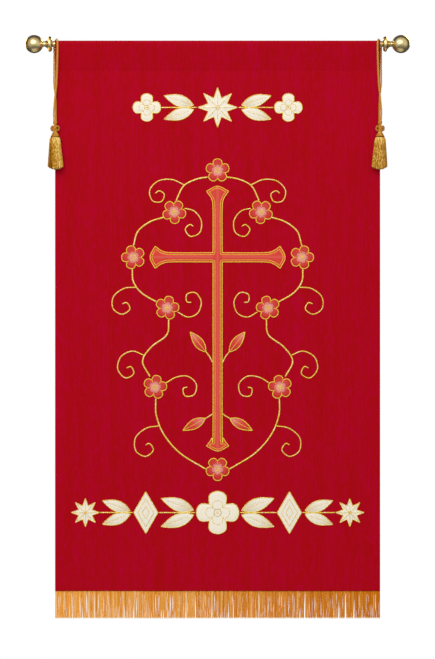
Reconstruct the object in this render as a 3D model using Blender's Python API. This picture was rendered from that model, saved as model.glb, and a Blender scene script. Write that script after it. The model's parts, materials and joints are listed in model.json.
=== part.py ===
# A church banner on its hanging rod. A red satin panel hangs by a sewn pocket from a brass rod with ball finials.
# Cut satin motifs are sewn on its front, gold fringe runs along its foot, and a tasselled cord loops over each rod end.
# Metres, +Z up. The front faces -Y. The origin is on the rod's axis, halfway along it.

import math
import random
from collections import namedtuple

import bmesh
import bpy
from mathutils import Matrix, Vector

# Clearance between two pieces that touch, and the wider one under cloth that is sewn on cloth.
GAP = 0.0003
SEWN_GAP = 0.0004
WELD = 1e-6  # points nearer than this are one
SMOOTH_ANGLE = 40.0  # round pieces are shaded smooth over edges flatter than this, in degrees
TASSEL_SEED = 5
FRINGE_SEED = 11

CLOTH_WIDTH = 0.9144
CLOTH_DROP = 1.5387  # rod's axis to the hem
CLOTH_THICKNESS = 0.0015
CLOTH_COLUMNS = 24
CLOTH_ROWS = 6
POCKET_DEPTH = 0.075  # rod's axis to the seam that closes the pocket
POCKET_HEM = 0.012  # turned-in edge sewn flat below that seam
POCKET_ARC_STEPS = 10

# The gentle folds that the cloth hangs in: nothing at the seam, and their full height at the hem.
Fold = namedtuple("Fold", "wavelength height phase")
FOLDS = (
    Fold(wavelength=0.43, height=0.0013, phase=0.6),
    Fold(wavelength=0.29, height=0.0007, phase=2.1),
)

ROD_DIAMETER = 0.016
ROD_SIDES = 24
COLLAR_FACE = 0.4662  # middle of the rod to the inner face of a finial's collar
SOCKET_DEPTH = 0.011  # how far the rod runs into a finial

# A finial's turned outline, measured outwards from the collar's inner face, up to where its ball starts.
Turning = namedtuple("Turning", "along radius")
FINIAL_NECK = (
    Turning(along=0.0, radius=0.0170),
    Turning(along=0.0012, radius=0.0194),
    Turning(along=0.0040, radius=0.0210),
    Turning(along=0.0073, radius=0.0213),
    Turning(along=0.0090, radius=0.0203),
    Turning(along=0.0106, radius=0.0166),
    Turning(along=0.0133, radius=0.0122),
    Turning(along=0.0168, radius=0.0088),
    Turning(along=0.0208, radius=0.0073),
    Turning(along=0.0223, radius=0.0075),
    Turning(along=0.0233, radius=0.0082),
    Turning(along=0.0244, radius=0.0082),
    Turning(along=0.0251, radius=0.0077),
)
FINIAL_SIDES = 20
BALL_DIAMETER = 0.051
BALL_CENTRE = 0.0498
BALL_START_RADIUS = 0.0079
BALL_STEPS = 9

CORD_DIAMETER = 0.005
CORD_STEP_ON_ROD = 0.006
CORD_STEP_HANGING = 0.014
CORD_ROD_ZONE = -0.012  # above this height the cord bends round the rod

# A cord's route, from the knot up in front of the cloth, over the covered rod, down behind the bare rod, past the
# cloth's edge and forward to the knot again. "out" is the distance from the banner's middle line.
RoutePoint = namedtuple("RoutePoint", "out y z")
CORD_ROUTE = (
    RoutePoint(0.4594, -0.0092, -0.2152),
    RoutePoint(0.4602, -0.0096, -0.1910),
    RoutePoint(0.4586, -0.0102, -0.1680),
    RoutePoint(0.4564, -0.0107, -0.1460),
    RoutePoint(0.4536, -0.0111, -0.1200),
    RoutePoint(0.4519, -0.0117, -0.0950),
    RoutePoint(0.4506, -0.0124, -0.0600),
    RoutePoint(0.4498, -0.0130, -0.0300),
    RoutePoint(0.4494, -0.0132, -0.0080),
    RoutePoint(0.4496, -0.0130, 0.0015),
    RoutePoint(0.4506, -0.0094, 0.0092),
    RoutePoint(0.4526, -0.0015, 0.0132),
    RoutePoint(0.4556, 0.0066, 0.0115),
    RoutePoint(0.4588, 0.0118, 0.0055),
    RoutePoint(0.4606, 0.0122, -0.0035),
    RoutePoint(0.4607, 0.0104, -0.0160),
    RoutePoint(0.4605, 0.0074, -0.0360),
    RoutePoint(0.4604, 0.0037, -0.0600),
    RoutePoint(0.4603, -0.0008, -0.0840),
    RoutePoint(0.4601, -0.0043, -0.1080),
    RoutePoint(0.4582, -0.0053, -0.1280),
    RoutePoint(0.4563, -0.0050, -0.1460),
    RoutePoint(0.4553, -0.0046, -0.1680),
    RoutePoint(0.4552, -0.0045, -0.1910),
    RoutePoint(0.4549, -0.0045, -0.2152),
)

# The knot and the rosette that close a cord loop.
KNOT_OUT = 0.4568
KNOT_Y = -0.0073
KNOT_TOP = -0.2155
KNOT_SIDES = 12
KNOT_TURNED = (
    Turning(along=0.0, radius=0.0050),
    Turning(along=0.0016, radius=0.0059),
    Turning(along=0.0050, radius=0.0062),
    Turning(along=0.0085, radius=0.0058),
    Turning(along=0.0115, radius=0.0042),
    Turning(along=0.0135, radius=0.0036),
    Turning(along=0.0190, radius=0.0044),
    Turning(along=0.0260, radius=0.0046),
    Turning(along=0.0305, radius=0.0054),
    Turning(along=0.0322, radius=0.0052),
)
LOOP_DROP = 0.0222  # knot's top to the middle of the rosette's loops
LOOP_SPREAD = 0.0072  # rosette's middle to the middle of a loop
LOOP_RADIUS = 0.0042
LOOP_STRETCH = 1.42  # a loop's height for its width
LOOP_CORD_RADIUS = 0.0025
LOOP_STEPS = 14
LOOP_SIDES = 6
LOOP_TILT = 14.0

# A tassel. Its head is turned, and its strands spread and lean a little on their way down.
TASSEL_OUT = 0.4572
TASSEL_Y = -0.0085
TASSEL_HEAD_TOP = KNOT_TOP - KNOT_TURNED[-1].along - GAP
TASSEL_CELLS = 7
BACK_SHARE = 0.45  # depth of the half towards the cloth, for its width
FRONT_SHARE = 0.85
TASSEL_HEAD = (
    Turning(along=0.0, radius=0.0055),
    Turning(along=0.0060, radius=0.0086),
    Turning(along=0.0135, radius=0.0121),
    Turning(along=0.0148, radius=0.0108),
    Turning(along=0.0160, radius=0.0128),
    Turning(along=0.0172, radius=0.0133),
)
Spread = namedtuple("Spread", "down radius fill lean_out lean_y")
TASSEL_SKIRT = (
    Spread(down=0.0230, radius=0.0143, fill=0.80, lean_out=-0.0002, lean_y=-0.0010),
    Spread(down=0.1060, radius=0.0222, fill=0.82, lean_out=-0.0020, lean_y=-0.0038),
)
TASSEL_RISE = 0.0080  # how much higher the outer strands end than the middle ones
TASSEL_UNEVEN = 0.0012

FRINGE_STRANDS = 192
FRINGE_LENGTH = 0.0774
FRINGE_UNEVEN = 0.0016
FRINGE_SWING = 0.0006
FRINGE_STRIP_HEIGHT = 0.012
FRINGE_STRIP_THICKNESS = 0.002
FRINGE_ROOT_DROP = 0.0026
FRINGE_ROOT_SCALE = (0.72, 0.85, 1.0)
FRINGE_TIP_SCALE = (0.84, 0.80, 1.0)

MOTIF_THICKNESS = 0.0012
LEAF_WIDTH = 0.36  # of its length
LEAF_STEPS = 7
LEAF_BELLY = 0.88  # under 1 puts a leaf's widest place below its middle
STAR_TIPS = 8
STAR_WAIST = 0.5
Lobes = namedtuple("Lobes", "count waist")
QUATREFOIL = Lobes(count=4, waist=0.55)
BLOSSOM = Lobes(count=5, waist=0.66)
LOBE_STEPS = 5
LOBE_FULLNESS = 0.6  # the smaller, the rounder a lobe and the sharper its notches
LOZENGE_WIDTH = 0.58
CROSS_HALF_WIDTH = 0.013
CROSS_ARMS = {0: 0.190, 90: 0.200, 180: 0.190, 270: 0.545}
ArmPoint = namedtuple("ArmPoint", "from_end width")
CROSS_ARM_END = (
    ArmPoint(from_end=0.066, width=1.0),
    ArmPoint(from_end=0.036, width=1.3),
    ArmPoint(from_end=0.014, width=2.4),
)

# The cut motifs. "size" is a radius, or the length of a leaf or a lozenge, and "turn" is anticlockwise from upright.
# A motif with "pair" is cut twice, the second one mirrored about the middle line.
Motif = namedtuple("Motif", "name form x z size turn pair cloth")
MOTIFS = (
    Motif("star_top", "star", 0.0, -0.1785, 0.056, 0, False, "cream"),
    Motif("leaf_top_upper", "leaf", 0.109, -0.1590, 0.088, -72, True, "cream"),
    Motif("leaf_top_lower", "leaf", 0.109, -0.1980, 0.088, -108, True, "cream"),
    Motif("quatrefoil_top", "quatrefoil", 0.199, -0.1785, 0.039, 0, True, "cream"),
    Motif("cross", "cross", 0.0, -0.600, 1.0, 0, False, "coral"),
    Motif("blossom_crown", "blossom", 0.0, -0.3560, 0.033, 0, False, "coral"),
    Motif("blossom_arm", "blossom", 0.237, -0.6000, 0.033, -90, True, "coral"),
    Motif("blossom_upper", "blossom", 0.122, -0.4720, 0.033, -40, True, "coral"),
    Motif("blossom_lower", "blossom", 0.142, -0.7420, 0.033, -130, True, "coral"),
    Motif("blossom_stem", "blossom", 0.176, -0.9650, 0.033, -60, True, "coral"),
    Motif("blossom_foot", "blossom", 0.0, -1.1950, 0.033, 180, False, "coral"),
    Motif("leaf_stem_upper", "leaf", 0.055, -0.8380, 0.072, -38, True, "coral"),
    Motif("leaf_stem_lower", "leaf", 0.066, -1.0700, 0.072, -118, True, "coral"),
    Motif("quatrefoil_foot", "quatrefoil", 0.0, -1.3180, 0.060, 0, False, "cream"),
    Motif("leaf_inner_upper", "leaf", 0.113, -1.2950, 0.098, -70, True, "cream"),
    Motif("leaf_inner_lower", "leaf", 0.113, -1.3410, 0.098, -110, True, "cream"),
    Motif("lozenge_foot", "lozenge", 0.2020, -1.3180, 0.118, 0, True, "cream"),
    Motif("leaf_outer_upper", "leaf", 0.2850, -1.2990, 0.084, -70, True, "cream"),
    Motif("leaf_outer_lower", "leaf", 0.2850, -1.3370, 0.084, -110, True, "cream"),
    Motif("star_foot", "star", 0.3720, -1.3180, 0.040, 0, True, "cream"),
)

# Colour (linear RGB), roughness and metallic value of each finish.
Finish = namedtuple("Finish", "colour roughness metallic")
FINISHES = {
    "red": Finish((0.410, 0.003, 0.013), 0.55, 0.0),
    "cream": Finish((0.90, 0.84, 0.68), 0.45, 0.0),
    "coral": Finish((0.74, 0.065, 0.040), 0.45, 0.0),
    "gold_yarn": Finish((0.72, 0.36, 0.07), 0.50, 0.0),
    "brass": Finish((0.72, 0.53, 0.22), 0.25, 1.0),
}

SIDES = {"left": -1, "right": 1}


def clear_scene():
    for obj in list(bpy.data.objects):
        bpy.data.objects.remove(obj, do_unlink=True)


def make_material(name, finish):
    material = bpy.data.materials.new(name)
    material.use_nodes = True
    shader = material.node_tree.nodes["Principled BSDF"]
    shader.inputs["Base Color"].default_value = (*finish.colour, 1.0)
    shader.inputs["Roughness"].default_value = finish.roughness
    shader.inputs["Metallic"].default_value = finish.metallic
    material.diffuse_color = (*finish.colour, 1.0)
    return material


def place(name, data, finish, location=(0.0, 0.0, 0.0), parent=None):
    """Puts a mesh or a curve in the scene as one piece of the banner, with its own material."""
    data.materials.append(make_material(name, FINISHES[finish]))
    obj = bpy.data.objects.new(name, data)
    obj.location = location
    obj.parent = parent
    bpy.context.scene.collection.objects.link(obj)
    return obj


def to_mesh(bm, name, smooth=False):
    bmesh.ops.recalc_face_normals(bm, faces=bm.faces)
    mesh = bpy.data.meshes.new(name)
    bm.to_mesh(mesh)
    bm.free()
    if smooth:
        mesh.shade_smooth()
        mesh.set_sharp_from_angle(angle=math.radians(SMOOTH_ANGLE))
    return mesh


def extrude_faces(bm, faces, keep):
    """Extrudes joined faces in place. Returns the new faces and their points, and drops the old faces unless kept."""
    made = bmesh.ops.extrude_face_region(bm, geom=faces)["geom"]
    if not keep:
        bmesh.ops.delete(bm, geom=faces, context="FACES_ONLY")
    new_faces = [item for item in made if isinstance(item, bmesh.types.BMFace)]
    return new_faces, [item for item in made if isinstance(item, bmesh.types.BMVert)]


def column_x(column):
    return (column / CLOTH_COLUMNS - 0.5) * CLOTH_WIDTH


def fold_height(x):
    return sum(fold.height * math.sin(math.tau * x / fold.wavelength + fold.phase) for fold in FOLDS)


def sway(x, z):
    """How far the hanging cloth stands off its plane. It is straight between two of the panel's columns."""
    place_along = (x / CLOTH_WIDTH + 0.5) * CLOTH_COLUMNS
    column = min(max(math.floor(place_along), 0), CLOTH_COLUMNS - 1)
    share = min(max(place_along - column, 0.0), 1.0)
    height = (1 - share) * fold_height(column_x(column)) + share * fold_height(column_x(column + 1))
    depth = (-z - POCKET_DEPTH) / (CLOTH_DROP - POCKET_DEPTH)
    return height * min(max(depth, 0.0), 1.0)


def hang(bm, centre=(0.0, 0.0, 0.0)):
    """Moves every point of a flat piece onto the hanging cloth's folds."""
    for vert in bm.verts:
        vert.co.y += sway(vert.co.x + centre[0], vert.co.z + centre[2])


def tangent_angle(radius, y, z, side):
    """Where a straight run from (y, z), below the rod, meets a circle round its axis: the angle from straight down."""
    return side * math.acos(radius / math.hypot(y, z)) + math.atan2(y, -z)


def pocket_centres():
    """The cloth's middle line round the rod and its outward directions, from the seam's front to its back."""
    radius = ROD_DIAMETER / 2 + GAP + CLOTH_THICKNESS / 2
    front = tangent_angle(radius, 0.0, -POCKET_DEPTH, -1)
    back = tangent_angle(radius, CLOTH_THICKNESS, -POCKET_DEPTH, 1)
    over = math.tau - (back - front)
    stations = []
    for step in range(POCKET_ARC_STEPS + 1):
        angle = front - over * step / POCKET_ARC_STEPS
        outward = Vector((0.0, math.sin(angle), -math.cos(angle)))
        stations.append((outward * radius, outward))
    return stations


def panel_section(bm):
    """The faces of a cut through the cloth at its left edge: the hanging part, the doubled hem and the pocket."""
    left = -CLOTH_WIDTH / 2
    half = CLOTH_THICKNESS / 2
    hem_top = -POCKET_DEPTH - POCKET_HEM
    heights = [-CLOTH_DROP + (CLOTH_DROP + hem_top) * row / CLOTH_ROWS for row in range(CLOTH_ROWS + 1)]
    heights.append(-POCKET_DEPTH)
    outer = [bm.verts.new((left, -half, z)) for z in heights]
    inner = [bm.verts.new((left, half, z)) for z in heights]
    hem_inner, seam_inner = inner[-2], inner[-1]
    for centre, outward in pocket_centres():
        middle = centre + Vector((left, 0.0, 0.0))
        outer.append(bm.verts.new(middle + outward * half))
        inner.append(bm.verts.new(middle - outward * half))
    outer.append(bm.verts.new((left, 3 * half, -POCKET_DEPTH)))
    inner.append(seam_inner)
    for i in range(len(outer) - 1):
        corners = [outer[i], outer[i + 1], inner[i + 1], inner[i]]
        bm.faces.new(corners)
    hem_outer = bm.verts.new((left, 3 * half, hem_top))
    bm.faces.new([seam_inner, outer[-1], hem_outer, hem_inner])


def make_panel(parent):
    bm = bmesh.new()
    panel_section(bm)
    faces = bm.faces[:]
    for column in range(CLOTH_COLUMNS):
        faces, moved = extrude_faces(bm, faces, keep=column == 0)
        bmesh.ops.translate(bm, verts=moved, vec=(CLOTH_WIDTH / CLOTH_COLUMNS, 0.0, 0.0))
    hang(bm)
    place("banner_panel", to_mesh(bm, "banner_panel", smooth=True), "red", parent=parent)


def make_rod(parent):
    bm = bmesh.new()
    length = 2 * (COLLAR_FACE + SOCKET_DEPTH - GAP)
    radius = ROD_DIAMETER / 2
    bmesh.ops.create_cone(
        bm, cap_ends=True, segments=ROD_SIDES, radius1=radius, radius2=radius, depth=length,
        matrix=Matrix.Rotation(math.pi / 2, 4, "Y"),
    )
    place("rod", to_mesh(bm, "rod", smooth=True), "brass", parent=parent)


def lathe(bm, outline, sides):
    """Turns an outline of (radius, z) points about the Z axis into a closed solid."""
    verts = [bm.verts.new((radius, 0.0, z)) for radius, z in outline]
    edges = [bm.edges.new(pair) for pair in zip(verts, verts[1:])]
    bmesh.ops.spin(
        bm, geom=verts + edges, cent=(0, 0, 0), axis=(0, 0, 1), angle=math.tau, steps=sides, use_merge=True
    )
    bmesh.ops.remove_doubles(bm, verts=bm.verts, dist=WELD)


def finial_outline():
    """From the bottom of the rod's socket, out over the collar and the neck, round the ball to its far pole."""
    socket = ROD_DIAMETER / 2 + GAP
    outline = [(0.0, SOCKET_DEPTH), (socket, SOCKET_DEPTH), (socket, 0.0)]
    outline += [(turning.radius, turning.along) for turning in FINIAL_NECK]
    ball = BALL_DIAMETER / 2
    start = math.asin(BALL_START_RADIUS / ball)
    for step in range(BALL_STEPS + 1):
        angle = start + (math.pi - start) * step / BALL_STEPS
        radius = 0.0 if step == BALL_STEPS else ball * math.sin(angle)
        outline.append((radius, BALL_CENTRE - ball * math.cos(angle)))
    return outline


def make_finial(side, parent):
    name = f"finial_{side}"
    bm = bmesh.new()
    lathe(bm, finial_outline(), FINIAL_SIDES)
    location = (SIDES[side] * COLLAR_FACE, 0.0, 0.0)
    obj = place(name, to_mesh(bm, name, smooth=True), "brass", location, parent)
    obj.rotation_euler = (0.0, SIDES[side] * math.pi / 2, 0.0)


def between(before, start, end, after, share):
    """A point on the smooth curve through four points, on its stretch from start to end."""
    square, cube = share**2, share**3
    return 0.5 * (
        2 * start
        + (end - before) * share
        + (2 * before - 5 * start + 4 * end - after) * square
        + (3 * start - before - 3 * end + after) * cube
    )


def cord_points(sign):
    """The route's own smooth curve, read closely where it bends round the rod and more widely where it hangs."""
    route = [Vector((sign * point.out, point.y, point.z)) for point in CORD_ROUTE]
    padded = [2 * route[0] - route[1], *route, 2 * route[-1] - route[-2]]
    points = [route[0]]
    for before, start, end, after in zip(padded, padded[1:], padded[2:], padded[3:]):
        on_rod = max(start.z, end.z) > CORD_ROD_ZONE
        step = CORD_STEP_ON_ROD if on_rod else CORD_STEP_HANGING
        steps = max(1, round((end - start).length / step))
        points += [between(before, start, end, after, i / steps) for i in range(1, steps + 1)]
    return points


def make_cord(side, parent):
    name = f"tassel_cord_{side}"
    points = cord_points(SIDES[side])
    curve = bpy.data.curves.new(name, "CURVE")
    curve.dimensions = "3D"
    curve.bevel_depth = CORD_DIAMETER / 2
    curve.bevel_resolution = 2
    curve.use_fill_caps = True
    spline = curve.splines.new("POLY")
    spline.points.add(len(points) - 1)
    for spot, point in zip(spline.points, points):
        spot.co = (*point, 1.0)
    place(name, curve, "gold_yarn", parent=parent)


def loop_ring(bm, sign, tilt):
    """One oval loop of the rosette: a round of cord stood up and turned a little away from the cloth."""
    centre = Vector((LOOP_RADIUS, 0.0, 0.0))
    circle = bmesh.ops.create_circle(
        bm, segments=LOOP_SIDES, radius=LOOP_CORD_RADIUS,
        matrix=Matrix.Translation(centre) @ Matrix.Rotation(math.pi / 2, 4, "X"),
    )["verts"]
    edges = list({edge for vert in circle for edge in vert.link_edges})
    bmesh.ops.spin(
        bm, geom=circle + edges, cent=(0, 0, 0), axis=(0, 0, 1), angle=math.tau, steps=LOOP_STEPS, use_merge=True
    )
    stand = Matrix.Rotation(math.pi / 2, 4, "X")
    stretch = Matrix.Diagonal((1.0, 1.0, LOOP_STRETCH, 1.0))
    turn = Matrix.Rotation(math.radians(tilt) * sign, 4, "Z")
    move = Matrix.Translation((sign * LOOP_SPREAD, 0.0, -LOOP_DROP))
    bmesh.ops.transform(bm, matrix=move @ turn @ stretch @ stand, verts=bm.verts)


def make_knot(side, parent):
    """The wrapped knot with its neck, and the rosette's two loops joined to it."""
    name = f"tassel_knot_{side}"
    location = (SIDES[side] * KNOT_OUT, KNOT_Y, KNOT_TOP)
    bm = bmesh.new()
    body = [(turning.radius, -turning.along) for turning in KNOT_TURNED]
    outline = [(0.0, 0.0), *body, (0.0, -KNOT_TURNED[-1].along)]
    lathe(bm, outline, KNOT_SIDES)
    knot = place(name, to_mesh(bm, name, smooth=True), "gold_yarn", location, parent)
    for sign in (-1, 1):
        ring = bmesh.new()
        loop_ring(ring, sign, LOOP_TILT)
        helper_name = f"loop_guide_{side}_{'in' if sign == -SIDES[side] else 'out'}"
        helper = place(helper_name, to_mesh(ring, helper_name), "gold_yarn", location, parent)
        helper.hide_render = True
        helper.display_type = "WIRE"
        join = knot.modifiers.new("join " + helper_name, "BOOLEAN")
        join.operation = "UNION"
        join.object = helper


def round_cell(u, v):
    """Carries a point of the square from -1 to 1 to the round disc."""
    return Vector((u * math.sqrt(1 - v * v / 2), v * math.sqrt(1 - u * u / 2)))


def tassel_point(spot, radius, z):
    """A point of the tassel's flattened round at some height, for a place on the unit disc."""
    depth = BACK_SHARE if spot.y > 0 else FRONT_SHARE
    return Vector((spot.x * radius, spot.y * radius * depth, z))


def tassel_head(bm):
    """The head, raised from a disc of cells whose undersides the strands grow from. Returns those undersides."""
    bmesh.ops.create_grid(bm, x_segments=TASSEL_CELLS, y_segments=TASSEL_CELLS, size=1.0)
    spots = {vert: round_cell(vert.co.x, vert.co.y) for vert in bm.verts}
    root = TASSEL_HEAD[-1]
    for vert, spot in spots.items():
        vert.co = tassel_point(spot, root.radius, -root.along)
    under = bm.faces[:]
    faces = under
    lower = root
    for ring in reversed(TASSEL_HEAD[:-1]):
        faces, moved = extrude_faces(bm, faces, keep=lower is root)
        shrink = ring.radius / lower.radius
        bmesh.ops.scale(bm, verts=moved, vec=(shrink, shrink, 1.0))
        bmesh.ops.translate(bm, verts=moved, vec=(0.0, 0.0, lower.along - ring.along))
        lower = ring
    bmesh.ops.dissolve_faces(bm, faces=faces)
    return under


def grow_strands(bm, cells, sign, draws):
    """Draws each cell of the head's underside down into one strand."""
    root = TASSEL_HEAD[-1]
    for row in TASSEL_SKIRT:
        cells = bmesh.ops.extrude_discrete_faces(bm, faces=cells)["faces"]
        last = row is TASSEL_SKIRT[-1]
        for cell in cells:
            middle = cell.calc_center_median()
            if row is TASSEL_SKIRT[0]:
                spread = row.radius / root.radius
            else:
                spread = row.radius / TASSEL_SKIRT[0].radius
            target = Vector((middle.x * spread, middle.y * spread, -row.down))
            if last:
                reach = min(1.0, abs(middle.x) / TASSEL_SKIRT[0].radius)
                target.z += TASSEL_RISE * reach**2 + draws.uniform(-TASSEL_UNEVEN, TASSEL_UNEVEN)
                target.x += sign * row.lean_out
                target.y += row.lean_y
            for vert in cell.verts:
                offset = vert.co - middle
                grown = row.fill if row is TASSEL_SKIRT[0] else spread
                vert.co = target + offset * grown


def make_tassel(side, parent):
    name = f"tassel_{side}"
    sign = SIDES[side]
    bm = bmesh.new()
    under = tassel_head(bm)
    grow_strands(bm, under, sign, random.Random(TASSEL_SEED + sign))
    location = (sign * TASSEL_OUT, TASSEL_Y, TASSEL_HEAD_TOP)
    place(name, to_mesh(bm, name, smooth=True), "gold_yarn", location, parent)


def make_fringe(parent):
    """A narrow strip behind the hem, and one strand drawn down from each cell of its lower edge."""
    draws = random.Random(FRINGE_SEED)
    bm = bmesh.new()
    bmesh.ops.create_grid(bm, x_segments=FRINGE_STRANDS, y_segments=1, size=0.5)
    bmesh.ops.scale(bm, verts=bm.verts, vec=(CLOTH_WIDTH, FRINGE_STRIP_THICKNESS, 1.0))
    back = CLOTH_THICKNESS / 2 + SEWN_GAP + FRINGE_STRIP_THICKNESS / 2
    bmesh.ops.translate(bm, verts=bm.verts, vec=(0.0, back, -CLOTH_DROP))
    cells = bm.faces[:]
    _, moved = extrude_faces(bm, cells, keep=True)
    bmesh.ops.translate(bm, verts=moved, vec=(0.0, 0.0, FRINGE_STRIP_HEIGHT))
    cells = bmesh.ops.extrude_discrete_faces(bm, faces=cells)["faces"]
    for cell in cells:
        reshape_cell(cell, FRINGE_ROOT_SCALE, Vector((0.0, 0.0, -FRINGE_ROOT_DROP)))
    cells = bmesh.ops.extrude_discrete_faces(bm, faces=cells)["faces"]
    for cell in cells:
        shorter = draws.uniform(0.0, FRINGE_UNEVEN)
        drop = Vector((
            draws.uniform(-FRINGE_SWING, FRINGE_SWING),
            draws.uniform(-FRINGE_SWING, FRINGE_SWING),
            FRINGE_ROOT_DROP - FRINGE_LENGTH + shorter,
        ))
        reshape_cell(cell, FRINGE_TIP_SCALE, drop)
    hang(bm)
    place("fringe", to_mesh(bm, "fringe"), "gold_yarn", parent=parent)


def reshape_cell(cell, scale, move):
    """Narrows one face about its middle and moves it."""
    middle = cell.calc_center_median()
    for vert in cell.verts:
        offset = vert.co - middle
        vert.co = middle + Vector((offset.x * scale[0], offset.y * scale[1], offset.z * scale[2])) + move


def leaf_outline(length):
    """Pointed at both ends and widest a little below its middle."""
    half = LEAF_WIDTH * length / 2
    right = []
    for step in range(LEAF_STEPS + 1):
        share = step / LEAF_STEPS
        right.append((half * math.sin(math.pi * share**LEAF_BELLY), (share - 0.5) * length))
    left = [(-x, z) for x, z in reversed(right[1:-1])]
    right[-1] = (0.0, right[-1][1])
    return right + left


def star_outline(radius):
    outline = []
    for step in range(2 * STAR_TIPS):
        reach = radius if step % 2 == 0 else radius * STAR_WAIST
        angle = math.pi * step / STAR_TIPS
        outline.append((-reach * math.sin(angle), reach * math.cos(angle)))
    return outline


def lobed_outline(radius, lobes):
    """Round lobes about a middle, one of them upright, with a notch between two."""
    outline = []
    steps = lobes.count * LOBE_STEPS
    for step in range(steps):
        angle = math.tau * (step + 0.5) / steps
        swell = abs(math.cos(lobes.count * angle / 2)) ** LOBE_FULLNESS
        reach = radius * (lobes.waist + (1 - lobes.waist) * swell)
        outline.append((-reach * math.sin(angle), reach * math.cos(angle)))
    return outline


def lozenge_outline(length):
    half = length / 2
    return [(0.0, half), (-half * LOZENGE_WIDTH, 0.0), (0.0, -half), (half * LOZENGE_WIDTH, 0.0)]


def cross_outline(size):
    """A plain Latin cross with flared, pointed ends, about the middle of its crossing."""
    half = CROSS_HALF_WIDTH * size
    outline = []
    for heading, length in CROSS_ARMS.items():
        along = Vector((math.cos(math.radians(heading)), math.sin(math.radians(heading))))
        across = Vector((-along.y, along.x))
        reach = length * size
        right = [along * (reach - row.from_end) - across * half * row.width for row in CROSS_ARM_END]
        left = [along * (reach - row.from_end) + across * half * row.width for row in reversed(CROSS_ARM_END)]
        corner = along * half + across * half
        outline += [tuple(point) for point in (*right, along * reach, *left, corner)]
    return outline


OUTLINES = {
    "leaf": leaf_outline,
    "star": star_outline,
    "quatrefoil": lambda radius: lobed_outline(radius, QUATREFOIL),
    "blossom": lambda radius: lobed_outline(radius, BLOSSOM),
    "lozenge": lozenge_outline,
    "cross": cross_outline,
}


def make_motif(motif, name, sign, parent):
    """One piece of satin cut to its outline and laid on the front of the panel, along the panel's folds."""
    centre = (sign * motif.x, 0.0, motif.z)
    turn = math.radians(motif.turn)
    bm = bmesh.new()
    front = -CLOTH_THICKNESS / 2 - SEWN_GAP
    corners = []
    for x, z in OUTLINES[motif.form](motif.size):
        across = x * math.cos(turn) - z * math.sin(turn)
        up = x * math.sin(turn) + z * math.cos(turn)
        corners.append(bm.verts.new((sign * across if motif.pair else across, front, up)))
    bm.faces.new(corners)
    _, moved = extrude_faces(bm, bm.faces[:], keep=True)
    bmesh.ops.translate(bm, verts=moved, vec=(0.0, -MOTIF_THICKNESS, 0.0))
    for column in range(1, CLOTH_COLUMNS):
        bmesh.ops.bisect_plane(
            bm, geom=bm.verts[:] + bm.edges[:] + bm.faces[:], dist=WELD,
            plane_co=(column_x(column) - centre[0], 0.0, 0.0), plane_no=(1.0, 0.0, 0.0),
        )
    hang(bm, centre)
    place(name, to_mesh(bm, name), motif.cloth, centre, parent)


def make_motifs(parent):
    for motif in MOTIFS:
        if not motif.pair:
            make_motif(motif, motif.name, 1, parent)
            continue
        for side, sign in SIDES.items():
            make_motif(motif, f"{motif.name}_{side}", sign, parent)


def make_banner():
    clear_scene()
    hanging_point = bpy.data.objects.new("hanging_point", None)
    bpy.context.scene.collection.objects.link(hanging_point)
    make_panel(hanging_point)
    make_rod(hanging_point)
    make_fringe(hanging_point)
    make_motifs(hanging_point)
    for side in SIDES:
        make_finial(side, hanging_point)
        make_cord(side, hanging_point)
        make_knot(side, hanging_point)
        make_tassel(side, hanging_point)


make_banner()
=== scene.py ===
import json
import math
import random

import bmesh
import bpy
from mathutils import Matrix, Vector
from mathutils.kdtree import KDTree


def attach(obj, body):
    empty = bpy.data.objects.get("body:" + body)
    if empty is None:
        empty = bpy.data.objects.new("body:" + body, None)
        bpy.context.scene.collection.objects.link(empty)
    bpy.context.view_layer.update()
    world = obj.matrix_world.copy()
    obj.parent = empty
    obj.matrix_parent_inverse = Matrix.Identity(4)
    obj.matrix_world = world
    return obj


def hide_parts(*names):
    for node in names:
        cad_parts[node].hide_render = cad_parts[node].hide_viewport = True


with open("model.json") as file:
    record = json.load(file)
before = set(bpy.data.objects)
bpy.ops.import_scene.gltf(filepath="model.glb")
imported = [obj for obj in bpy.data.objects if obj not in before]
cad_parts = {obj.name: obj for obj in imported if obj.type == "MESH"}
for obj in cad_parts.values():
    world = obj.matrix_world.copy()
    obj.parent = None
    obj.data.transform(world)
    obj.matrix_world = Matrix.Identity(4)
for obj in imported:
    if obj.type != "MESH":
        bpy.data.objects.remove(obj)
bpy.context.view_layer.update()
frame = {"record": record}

# A church banner of red watered satin on its brass rod, with satin stitch motifs, couched gold lines,
# gold fringe along its foot and a tasselled cord at each end of the rod. Metres, the front faces -Y.
sides = {"left": -1, "right": 1}
weld = 1e-6  # points nearer than this are one


# Camera, lights and floor

photoView = {
    "width": 435,
    "height": 659,
    "pixel": 0.0028135,        # metres that one pixel shows
    "rodMiddle": (217.6, 44.1),  # where the middle of the rod's axis lies, in pixels
    "lens": 150.0,             # long, so that the banner's sides stay upright
    "sensor": 36.0,
}

studio = {
    "background": 1.0,         # how bright the empty room looks
    "frontLight": 0.65,        # how much light its front half gives
    "backLight": 0.10,
    "lowShare": 0.12,          # how much of that comes from below
    "floorHeight": -3.6,
    "floorSize": 2.0,
    "floorColours": ((0.62, 0.61, 0.59), (0.66, 0.65, 0.63)),
    # name: place, what it points at, width, height, watts
    "boxes": {
        "front_wide": ((-1.1, -4.4, 2.0), (0.0, 0.0, -0.4), 6.0, 4.0, 160.0),
        "back_right": ((1.9, 4.2, 1.2), (0.0, 0.0, -0.8), 1.6, 2.0, 170.0),
        "back_left": ((-2.4, 4.0, 0.6), (0.0, 0.0, -0.8), 1.6, 2.0, 130.0),
    },
}


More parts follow.
